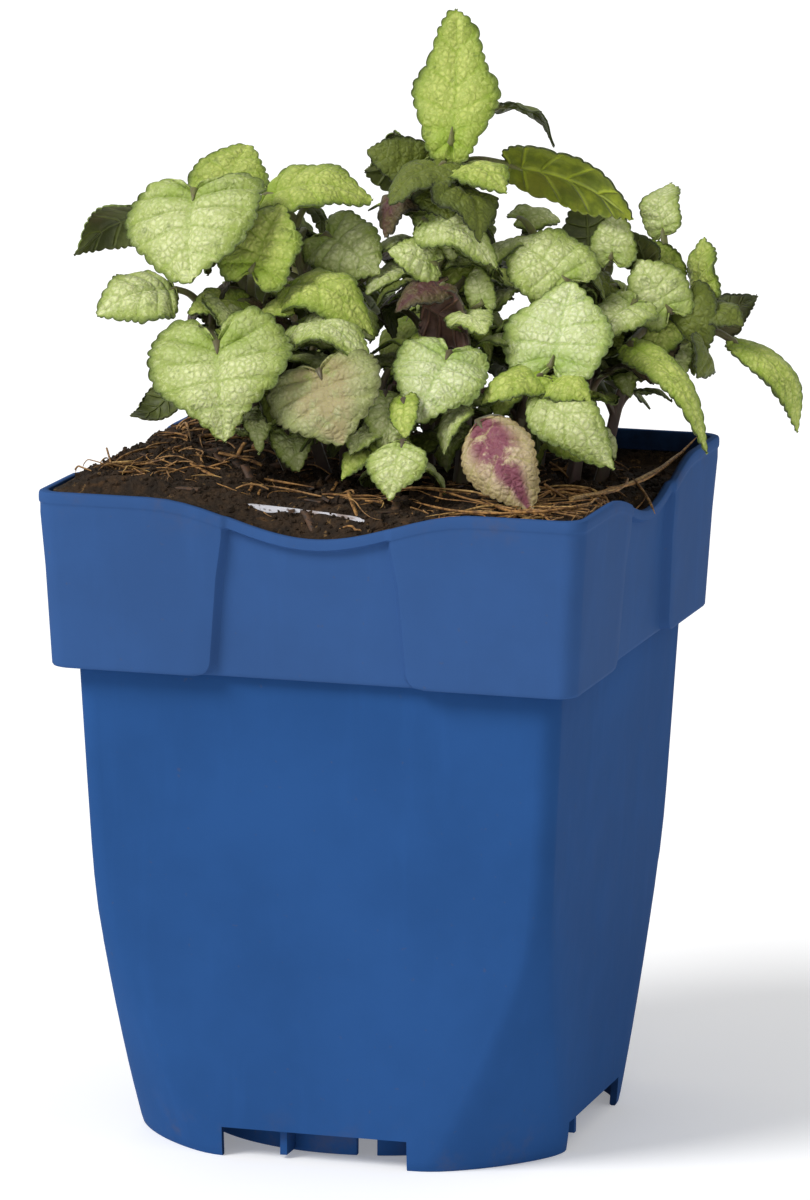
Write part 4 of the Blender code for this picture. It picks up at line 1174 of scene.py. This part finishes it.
def blade_mesh(name, blade, settings, seed, form):
    """A closed blade: upper side, underside a little below it, and the thin edge between them."""
    upper, veins_uv, blade_uv = blade_surface(blade, settings, seed, form)
    normal = surface_normals(upper)
    facing = np.array(blade[3], float)
    if normal.reshape(-1, 3).sum(axis=0).dot(facing) < 0:
        normal = -normal
    rows, columns = upper.shape[:2]
    thick = settings.thickness / MM
    under = upper - normal * thick
    points = np.concatenate([upper.reshape(-1, 3), under.reshape(-1, 3)])
    index, sheet = grid(rows, columns)
    rim = np.concatenate([index[:, 0], index[-1, 1:], index[::-1, -1][1:], index[0, ::-1][1:-1]])
    probe = sheet[len(sheet) // 3]
    quad = points[probe]
    if np.cross(quad[1] - quad[0], quad[3] - quad[0]).dot(normal.reshape(-1, 3)[probe[0]]) < 0:
        sheet = sheet[:, ::-1]
    else:
        rim = rim[::-1]
    low = rows * columns
    after = np.roll(rim, -1)
    wall = np.stack([rim, rim + low, after + low, after], axis=-1)
    faces = np.concatenate([sheet, sheet[:, ::-1] + low, wall[:, ::-1]])
    mesh = bpy.data.meshes.new(name)
    mesh.from_pydata((points * MM).tolist(), [], faces.tolist())
    sides = np.concatenate([np.zeros(len(sheet), int), np.ones(len(sheet), int), np.zeros(len(wall), int)])
    mesh.polygons.foreach_set("material_index", sides)
    corner = np.empty(len(mesh.loops), int)
    mesh.loops.foreach_get("vertex_index", corner)
    for label, values in (("veins", veins_uv), ("blade", blade_uv)):
        layer = mesh.uv_layers.new(name=label)
        flat = np.concatenate([values.reshape(-1, 2)] * 2)[corner]
        layer.data.foreach_set("uv", flat.ravel())
    mesh.update()
    clean(mesh)
    mesh.shade_smooth()
    return mesh


def rod_mesh(name, points, radii, material, rounding=0.35, width_share=1.0):
    """A rod along points, as thick at each as its radius says."""
    return rods_mesh(name, [(points, radii)], material, rounding, width_share)


def rods_mesh(name, rods, material, rounding=0.35, width_share=1.0):
    """Rods along their points, made by the rod tree from curves that carry their thickness."""
    curve = bpy.data.curves.new(name, "CURVE")
    curve.dimensions = "3D"
    for points, radii in rods:
        spline = curve.splines.new("POLY")
        spline.points.add(len(points) - 1)
        for spot, place, radius in zip(spline.points, points, radii):
            spot.co = (*(c * MM for c in place), 1.0)
            spot.radius = radius * MM
    values = {"Edge Rounding": rounding, "Width Share": width_share, "Material": material}
    return run_tree(get_tree("rod along a path", rod_tree), curve, values)


def tangled_rods(sorts):
    """Loose strands that wander over the soil around each tangle's centre, dealt out to the sorts."""
    rng = np.random.default_rng(TANGLE_SEED)
    dealt = [[] for _ in range(sorts)]
    for centre, spread, count, shortest, longest in TANGLES:
        for number in range(count):
            length = rng.uniform(shortest, longest)
            way, bend = rng.uniform(0.0, 2.0 * math.pi), rng.uniform(-0.26, 0.26)
            spot = np.array(centre) + rng.normal(0.0, spread / 2, 2)
            flat = []
            for _ in range(10):
                spot = np.clip(spot, -TANGLE_REACH, TANGLE_REACH)
                flat.append(spot)
                way += bend + rng.normal(0.0, 0.16)
                spot = spot + length / 9 * np.array([math.cos(way), math.sin(way)])
            x, y = np.array(flat).T
            arch = 0.09 * length * rng.uniform(0.1, 1.0) * np.sin(math.pi * np.linspace(0.0, 1.0, 10))
            rise = arch + rng.uniform(0.2, 0.7)
            path = smooth_route(np.stack([x, y, soil_z(x, y) + rise], axis=1), 3)
            thick = rng.uniform(0.08, 0.2) * (1.15 - np.linspace(-0.7, 1.0, len(path)) ** 2)
            dealt[number % sorts].append((path, thick))
    return dealt


def join_meshes(name, meshes):
    """One mesh from several, each keeping its own materials and places."""
    holders = [linked(name, mesh) for mesh in meshes]
    chosen = {"selected_objects": holders, "selected_editable_objects": holders}
    with bpy.context.temp_override(active_object=holders[0], **chosen):
        bpy.ops.object.join()
    made = holders[0].data
    bpy.data.objects.remove(holders[0], do_unlink=True)
    made.name = name
    return made


def shoot_route(name):
    points = [np.array(p, float) for p in SHOOTS[name]]
    points[0] = points[0] - [0.0, 0.0, 4.0]
    return smooth_route(points, 10)


def stalk_route(route, base):
    """A stalk from the shoot to a blade: it leaves low on the shoot and rises in a bow."""
    base = np.array(base, float)
    near = route[4 + np.argmin(np.linalg.norm(route[4:] - (base - [0.0, 0.0, 5.0]), axis=1))]
    middle = (near + base) / 2 + [0.0, 0.0, 0.12 * np.linalg.norm(base - near)]
    return smooth_route([near, middle, base], 7)


def stalk_and_blade(name, route, blade, seed, materials, form=PLAIN_FORM):
    """The meshes of one leaf: its stalk, and its blade with the right upper side."""
    settings = bpy.context.scene.nettle_leaf
    path = stalk_route(route, blade[0])
    base, tip = np.array(blade[0], float), np.array(blade[1], float)
    path = np.concatenate([path, [base + 0.12 * (tip - base)]])
    reach = np.linspace(0.0, 1.0, len(path))
    size = 0.55 + 0.25 * min(1.0, np.linalg.norm(tip - base) / 20.0)
    radii = size * (0.85 + 0.35 * (1.0 - reach) ** 3)
    radii[-1] = 0.12
    stalk = rod_mesh(f"{name}_stalk", path, radii, materials["stem"], 0.8, 1.15)
    sheet = blade_mesh(f"{name}_blade", blade, settings, seed, form)
    sheet.materials.append(materials[blade[6]])
    # Undersides take the plain dark one, painted shade, unless listed.
    sheet.materials.append(materials[TURNED_UP.get(name, "leaf underside")])
    return [stalk, sheet]


def pierces_large(points):
    """Whether any of these points lies in or near the blade of a large leaf."""
    for base, tip, width, facing, *_ in (blade for group in LEAVES.values() for blade in group.values()):
        base, tip = np.array(base, float), np.array(tip, float)
        length = np.linalg.norm(tip - base)
        along = (tip - base) / length
        up = unit(np.array(facing, float) - np.dot(facing, along) * along)
        across = np.cross(up, along)
        offset = points - base
        reach, wide, high = offset @ along / length, offset @ across / width, offset @ up
        within = (reach > -0.35) & (reach < 1.1) & (np.abs(wide) < 0.62)
        if np.any(within & (high > -3.0) & (high < 4.5)):
            return True
    return False


def young_leaves(route, number, count):
    """Small leaves in opposite pairs up a shoot, each pair across the one below it."""
    rng = np.random.default_rng(YOUNG_SEED + number)
    made = []
    turn = rng.uniform(0.0, math.pi)
    for share in np.linspace(0.2, 0.97, count):
        spot = route[int(share * (len(route) - 1))]
        turn += math.pi / 2 + rng.uniform(-0.4, 0.4)
        for half_turn in (0.0, math.pi):
            for _ in range(12):
                way = turn + half_turn + rng.uniform(-0.8, 0.8)
                pitch = math.radians(rng.uniform(-55.0, 25.0))
                size = rng.uniform(7.0, 13.5)
                outward = np.array([math.cos(way), math.sin(way), 0.0])
                base = spot + outward * rng.uniform(2.5, 7.0) + [0.0, 0.0, rng.uniform(0.5, 3.5)]
                tip = base + size * (outward * math.cos(pitch) + [0.0, 0.0, math.sin(pitch)])
                path = base + np.linspace(-0.4, 1.1, 7)[:, None] * (tip - base)
                if not pierces_large(path):
                    break
            else:
                continue
            facing = np.array([0.0, 0.0, 1.0]) + 0.5 * outward + rng.uniform(-0.25, 0.25, 3)
            # The dull dark greens among them fill the gaps between leaves with painted shade.
            colour = rng.choice(["silver", "silver", "silver", "fresh", "fresh", "olive", "olive", "plum"])
            outline = rng.choice(["round", "kite", "heart", "tongue"])
            form = (str(outline), rng.uniform(0.1, 0.4), rng.uniform(-0.7, 0.7), 1.0)
            width, fall = size * rng.uniform(0.75, 1.0), rng.uniform(0.1, 0.3)
            made.append(((base, tip, width, facing, 0.1, fall, str(colour)), form))
    return made


def plant_materials():
    """The finishes of leaves and shoots, made once."""
    made = {"stem": bpy.data.materials.get("stem skin") or stem_skin()}
    settings = bpy.context.scene.nettle_leaf
    for name, colours in UNDERSIDES.items():
        made[name] = bpy.data.materials.get(name) or leaf_under(name, *colours, settings.side_veins)
    for name, colouring in COLOURINGS.items():
        known = bpy.data.materials.get(f"leaf upper side {name}")
        made[name] = known or leaf_upper(name, colouring, settings.side_veins, settings.net_relief)
    return made


# ---------------------------------------------------------------- settings


class PotSettings(bpy.types.PropertyGroup):
    scallop: bpy.props.FloatProperty(
        name="Rim Dip",
        description="How far the rim dips in the middle of each side",
        default=RIM_DIP * MM,
        unit="LENGTH",
    )
    bead: bpy.props.FloatProperty(
        name="Bead Set-back",
        description="How far the bead is set back over the panels",
        default=0.7 * MM,
        unit="LENGTH",
    )
    colour: bpy.props.FloatVectorProperty(
        name="Plastic Colour",
        description="Colour of the pot",
        default=linear((40, 77, 130)),
        size=3,
        subtype="COLOR",
    )
    gloss: bpy.props.FloatProperty(
        name="Roughness",
        description="Roughness of the plastic",
        default=0.5,
        min=0.0,
        max=1.0,
        subtype="FACTOR",
    )


class SoilSettings(bpy.types.PropertyGroup):
    lump_height: bpy.props.FloatProperty(
        name="Lump Height", description="Height of the soil's lumps", default=1.3 * MM, unit="LENGTH"
    )
    crumbs: bpy.props.FloatProperty(
        name="Crumbs", description="Crumbs on each square metre", default=420000.0, min=0.0
    )
    straws: bpy.props.FloatProperty(
        name="Straws", description="Bits of straw on each square metre", default=11000.0, min=0.0
    )
    fibres: bpy.props.FloatProperty(
        name="Root Fibres", description="Root fibres on each square metre", default=34000.0, min=0.0
    )
    seed: bpy.props.IntProperty(name="Seed", description="Seed of everything scattered", default=11)


class LabelSettings(bpy.types.PropertyGroup):
    thickness: bpy.props.FloatProperty(
        name="Thickness", description="Thickness of the label's sheet", default=0.6 * MM, unit="LENGTH"
    )
    tilt: bpy.props.FloatProperty(
        name="Tilt",
        description="How far the label leans to one side",
        default=math.radians(3.5),
        subtype="ANGLE",
    )


class LeafSettings(bpy.types.PropertyGroup):
    teeth: bpy.props.IntProperty(
        name="Teeth", description="Teeth along each half of a large blade", default=15, min=3
    )
    tooth_depth: bpy.props.FloatProperty(
        name="Tooth Depth", description="Depth of a tooth as a share of its own length", default=0.27, min=0.0
    )
    side_veins: bpy.props.IntProperty(
        name="Side Veins", description="Veins on each half of a blade", default=6, min=1
    )
    quilting: bpy.props.FloatProperty(
        name="Quilting",
        description="How far a blade puffs up between veins, as a share of its width",
        default=0.05,
    )
    thickness: bpy.props.FloatProperty(
        name="Thickness", description="Thickness of a blade", default=0.35 * MM, unit="LENGTH"
    )
    net_relief: bpy.props.FloatProperty(
        name="Net Relief", description="Depth of the fine net of veins", default=0.16 * MM, unit="LENGTH"
    )


class ShootSettings(bpy.types.PropertyGroup):
    foot: bpy.props.FloatProperty(
        name="Half Width at Foot",
        description="Half a stem's width at the soil",
        default=1.15 * MM,
        unit="LENGTH",
    )
    tip: bpy.props.FloatProperty(
        name="Half Width at Tip",
        description="Half a stem's width at its tip",
        default=0.75 * MM,
        unit="LENGTH",
    )
    young_pairs: bpy.props.IntProperty(
        name="Young Pairs", description="Pairs of small leaves up each shoot", default=10, min=0
    )
    joint: bpy.props.FloatProperty(
        name="Joint Swelling",
        description="How much thicker a stem is where leaves join it",
        default=0.22,
        min=0.0,
    )


class StageSettings(bpy.types.PropertyGroup):
    key_power: bpy.props.FloatProperty(
        name="Key Strength", description="Strength of the main light", default=2.25, min=0.0
    )
    fill_power: bpy.props.FloatProperty(
        name="Fill Strength", description="Strength of the fill light", default=0.12, min=0.0
    )
    sky: bpy.props.FloatProperty(
        name="Sky", description="Strength of the even light from all round", default=0.52, min=0.0
    )
    floor_glow: bpy.props.FloatProperty(
        name="Floor Glow", description="Light that the floor gives of its own", default=0.25, min=0.0
    )
    floor_colour: bpy.props.FloatVectorProperty(
        name="Floor Colour",
        description="Colour of floor and backdrop",
        default=(0.9, 0.9, 0.9),
        size=3,
        subtype="COLOR",
    )


# ---------------------------------------------------------------- operators


class NETTLE_OT_pot(bpy.types.Operator):
    """Make the square moulded pot"""

    bl_idname = "nettle.pot"
    bl_label = "Pot"

    def execute(self, context):
        settings = context.scene.nettle_pot
        finish = pot_plastic(tuple(settings.colour), settings.gloss)
        mesh = pot_mesh(settings)
        mesh.materials.clear()
        add_piece("nursery_pot", mesh, ["pot"], [finish])
        return {"FINISHED"}


class NETTLE_OT_soil(bpy.types.Operator):
    """Make the soil and everything scattered on it"""

    bl_idname = "nettle.soil"
    bl_label = "Soil and Litter"

    def execute(self, context):
        settings = context.scene.nettle_soil
        earth = soil_earth()
        mesh = soil_mesh(settings)
        crumbs = get_tree("soil crumbs", crumb_tree)
        strands = get_tree("soil strands", strand_tree)
        chips = fibrous("bark chips", (34, 23, 15), (84, 56, 32))
        straw = fibrous("chopped straw", (96, 62, 30), (178, 132, 72))
        fibre = fibrous("root fibre", (94, 64, 35), (176, 134, 80))
        sets = [
            ("crumbs_fine", crumbs, earth, settings.crumbs, 0.22, 0.6, 3.0, {}),
            ("crumbs_coarse", crumbs, earth, settings.crumbs * 0.1, 0.6, 1.5, 3.0, {}),
            ("bark_chips", strands, chips, settings.straws * 1.4, 2.0, 6.0, 0.5, (0.28, 0.35, 0.08)),
            ("straw_bits", strands, straw, settings.straws, 3.0, 11.0, 0.3, (0.1, 0.35, 0.14)),
            ("root_fibres", strands, fibre, settings.fibres, 3.0, 9.0, 0.45, (0.04, 0.9, 0.4)),
        ]
        for number, (name, tree, finish, density, smallest, largest, lean, shape) in enumerate(sets):
            values = {
                "Density": density,
                "Smallest": smallest * MM,
                "Largest": largest * MM,
                "Lean": lean,
                "Reach": (50.5 - 0.42 * largest) * MM,
                "Patchiness": 0.85 if shape else 0.0,
                "Seed": settings.seed + 7 * number,
                "Material": finish,
            }
            if shape:
                values.update(zip(("Thickness", "Flatness", "Bend"), shape))
            made = run_tree(tree, mesh.copy(), values)
            made.name = name
            add_piece(name, made, [])
        add_piece("potting_soil", mesh, ["soil"], [earth])
        return {"FINISHED"}


class NETTLE_OT_label(bpy.types.Operator):
    """Make the bare label strip pushed down behind the rim"""

    bl_idname = "nettle.label"
    bl_label = "Label"

    def execute(self, context):
        settings = context.scene.nettle_label
        left, right = LABEL_X
        half = settings.thickness / MM / 2
        centre = (left + right) / 2
        foot = LABEL_TOP - LABEL_LENGTH
        drop = math.tan(settings.tilt)
        columns = np.linspace(left, right, 30)
        rows = np.concatenate([np.linspace(0.0, 0.9, 10), [0.96, 1.0]])
        points = []
        for side in (-1, 1):
            for share in rows:
                for x in columns:
                    aside = abs((x - centre) / (right - centre))
                    low = foot + 8.0 * aside
                    top = LABEL_TOP + LABEL_PROUD - drop * (x - left) - 0.5 * aside**12
                    z = low + (top - low) * share
                    bow = 0.5 * ((x - centre) / 12.0) ** 2 * smoothstep(100.0, 131.0, z)
                    inset = half * (0.55 if share == 1.0 else 1.0)
                    points.append((x, LABEL_Y + side * inset - bow, z))
        index, front = grid(len(rows), len(columns))
        rim = np.concatenate([index[0], index[1:, -1], index[-1, ::-1][1:], index[::-1, 0][1:-1]])
        after, behind = np.roll(rim, -1), index.size
        wall = np.stack([rim, rim + behind, after + behind, after], axis=-1)
        faces = np.concatenate([front, front[:, ::-1] + behind, wall])
        mesh = mesh_from("label_strip", points, faces.tolist())
        mesh.set_sharp_from_angle(angle=math.radians(50.0))
        add_piece("label_strip", mesh, ["plant_label"], [label_plastic()])
        return {"FINISHED"}


class NETTLE_OT_straw(bpy.types.Operator):
    """Make the long dry stalk that lies across the soil"""

    bl_idname = "nettle.straw"
    bl_label = "Dry Stalk"

    def execute(self, context):
        path = smooth_route(STRAW_ROUTE, 14)
        reach = np.linspace(0.0, 1.0, len(path))
        radii = 0.42 - 0.14 * reach + 0.04 * np.sin(23.0 * reach)
        finish = fibrous("dry stalk", (132, 98, 50), (208, 170, 104), 0.6)
        mesh = rod_mesh("long_dry_stalk", path, radii, finish, 0.9, 1.2)
        add_piece("long_dry_stalk", mesh, ["dry_stalk"])
        strands = []
        for number, (thick, pale, *points) in enumerate(LOOSE_STRANDS):
            path = smooth_route(points, 10)
            near = np.minimum(np.linspace(0.05, 1.05, len(path)), np.linspace(1.05, 0.05, len(path)))
            ends = np.minimum(1.0, 4.0 * near)
            finish = bpy.data.materials["root fibre" if pale else "chopped straw"]
            strands.append(rod_mesh(f"strand_{number}", path, 0.8 * thick * ends, finish, 0.8))
        for sort, rods in zip(TANGLE_FINISHES, tangled_rods(len(TANGLE_FINISHES))):
            strands.append(rods_mesh(f"tangle_{sort}", rods, bpy.data.materials[sort], 0.8))
        add_piece("loose_strands", join_meshes("loose_strands", strands), [])
        return {"FINISHED"}


class NETTLE_OT_shoots(bpy.types.Operator):
    """Make every square shoot with its side leaves"""

    bl_idname = "nettle.shoots"
    bl_label = "Shoots"

    def execute(self, context):
        settings = context.scene.nettle_shoot
        finishes = plant_materials()
        for number, name in enumerate(SHOOTS):
            route = shoot_route(name)
            reach = np.linspace(0.0, 1.0, len(route))
            joints = 1.0 + settings.joint * np.abs(np.cos(math.pi * 2.5 * reach)) ** 14
            radii = (settings.foot + (settings.tip - settings.foot) * reach) / MM * joints
            parts = [rod_mesh(name, route, radii, finishes["stem"], 0.3)]
            for small, blade in enumerate(SIDE_LEAVES.get(name, []) + TUCKED_LEAVES.get(name, [])):
                parts += stalk_and_blade(name, route, blade, SIDE_SEED + 10 * number + small, finishes)
            for young, (blade, form) in enumerate(young_leaves(route, number, settings.young_pairs)):
                seed = YOUNG_BLADE_SEED + 40 * number + young
                parts += stalk_and_blade(name, route, blade, seed, finishes, form)
            add_piece(f"shoot_{name}", join_meshes(name, parts), [name])
        return {"FINISHED"}


class NETTLE_OT_leaves(bpy.types.Operator):
    """Make every large leaf with its stalk"""

    bl_idname = "nettle.leaves"
    bl_label = "Leaves"

    def execute(self, context):
        finishes = plant_materials()
        seed = 0
        for shoot, group in LEAVES.items():
            route = shoot_route(shoot)
            for name, blade in group.items():
                seed += 1
                form = FORMS.get(name, PLAIN_FORM)
                parts = stalk_and_blade(name, route, blade, seed, finishes, form)
                add_piece(f"{name}_leaf", join_meshes(name, parts), [f"leaf_{name}"])
        return {"FINISHED"}


class NETTLE_OT_stage(bpy.types.Operator):
    """Make the floor, the lights and the camera"""

    bl_idname = "nettle.stage"
    bl_label = "Stage"

    def execute(self, context):
        settings = context.scene.nettle_stage
        finish, g, shader, place = new_material("floor paper")
        grain = g.noise(place, 40.0)
        colour = tuple(settings.floor_colour)
        shade = tuple(c * 0.97 for c in colour)
        glow = {"Emission Color": (1.0, 1.0, 1.0, 1.0), "Emission Strength": settings.floor_glow}
        g.finish(shader, g.mix(grain, shade, colour), 0.9, None, glow)
        corners = [(x, y, 0) for x, y in boxed(-6000, 6000, -6000, 6000)]
        floor_mesh = mesh_from("floor", corners, [(0, 1, 2, 3)], False)
        floor_mesh.materials.append(finish)
        floor = linked("floor", floor_mesh)
        floor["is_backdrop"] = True
        self.lights(context, settings)
        self.camera(context)
        context.scene.view_settings.view_transform = "Standard"
        return {"FINISHED"}

    def lights(self, context, settings):
        world = bpy.data.worlds.new("studio")
        context.scene.world = world
        world.use_nodes = True
        sky = world.node_tree.nodes["Background"].inputs
        sky["Color"].default_value = (1.0, 1.0, 1.0, 1.0)
        sky["Strength"].default_value = settings.sky
        aim = Vector((0.0, 0.0, 0.12))
        lamps = [
            ("key", (-0.75, -0.85, 1.15), math.radians(24.0), settings.key_power),
            ("fill", (0.1, -1.2, 0.6), math.radians(60.0), settings.fill_power),
        ]
        for name, spot, spread, power in lamps:
            data = bpy.data.lights.new(name, "SUN")
            data.angle = spread
            data.energy = power
            lamp = linked(name, data)
            lamp.location = spot
            lamp.rotation_euler = (aim - Vector(spot)).to_track_quat("-Z", "Y").to_euler()

    def camera(self, context):
        azimuth, elevation, roll = (math.radians(a) for a in CAMERA_TURN)
        level = math.cos(elevation)
        back = Vector((math.sin(azimuth) * level, -math.cos(azimuth) * level, math.sin(elevation)))
        right = Vector((math.cos(azimuth), math.sin(azimuth), 0.0))
        target = right * 3.8 * MM + Vector((0.0, 0.0, 0.105))
        data = bpy.data.cameras.new("camera")
        data.sensor_fit = "VERTICAL"
        data.sensor_height = 36.0
        data.sensor_width = 24.3
        data.lens = CAMERA_LENS
        data.clip_start = 0.1
        data.clip_end = 30.0
        camera = linked("camera", data)
        turn = back.to_track_quat("Z", "Y").to_matrix()
        up = back.cross(right)
        across = right * math.cos(roll) + up * math.sin(roll)
        above = up * math.cos(roll) - right * math.sin(roll)
        for row in range(3):
            turn[row][0], turn[row][1], turn[row][2] = across[row], above[row], back[row]
        camera.matrix_world = turn.to_4x4()
        camera.location = target + back * CAMERA_DISTANCE
        context.scene.camera = camera


SETTINGS = (
    ("nettle_pot", PotSettings),
    ("nettle_soil", SoilSettings),
    ("nettle_label", LabelSettings),
    ("nettle_leaf", LeafSettings),
    ("nettle_shoot", ShootSettings),
    ("nettle_stage", StageSettings),
)
OPERATORS = (
    NETTLE_OT_pot,
    NETTLE_OT_soil,
    NETTLE_OT_label,
    NETTLE_OT_straw,
    NETTLE_OT_shoots,
    NETTLE_OT_leaves,
    NETTLE_OT_stage,
)


class NETTLE_PT_pieces(bpy.types.Panel):
    """Lists the pieces and their settings"""

    bl_idname = "NETTLE_PT_pieces"
    bl_label = "Potted Dead Nettle"
    bl_space_type = "VIEW_3D"
    bl_region_type = "UI"
    bl_category = "Nettle"

    def draw(self, context):
        for name, group in SETTINGS:
            box = self.layout.box()
            for key in group.__annotations__:
                box.prop(getattr(context.scene, name), key)
        for operator in OPERATORS:
            self.layout.operator(operator.bl_idname)


def register():
    for name, group in SETTINGS:
        bpy.utils.register_class(group)
        setattr(bpy.types.Scene, name, bpy.props.PointerProperty(type=group))
    for operator in OPERATORS:
        bpy.utils.register_class(operator)
    bpy.utils.register_class(NETTLE_PT_pieces)


def unregister():
    bpy.utils.unregister_class(NETTLE_PT_pieces)
    for operator in reversed(OPERATORS):
        bpy.utils.unregister_class(operator)
    for name, group in reversed(SETTINGS):
        delattr(bpy.types.Scene, name)
        bpy.utils.unregister_class(group)


def plain(bounds):
    return [[float(c) for c in corner] for corner in bounds]


def main():
    register()
    for operator in OPERATORS:
        group, name = operator.bl_idname.split(".")
        getattr(getattr(bpy.ops, group), name)()
    {"cad": plain(CAD_BOUNDS), "visual": plain(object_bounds())}


if __name__ == "__main__":
    main()
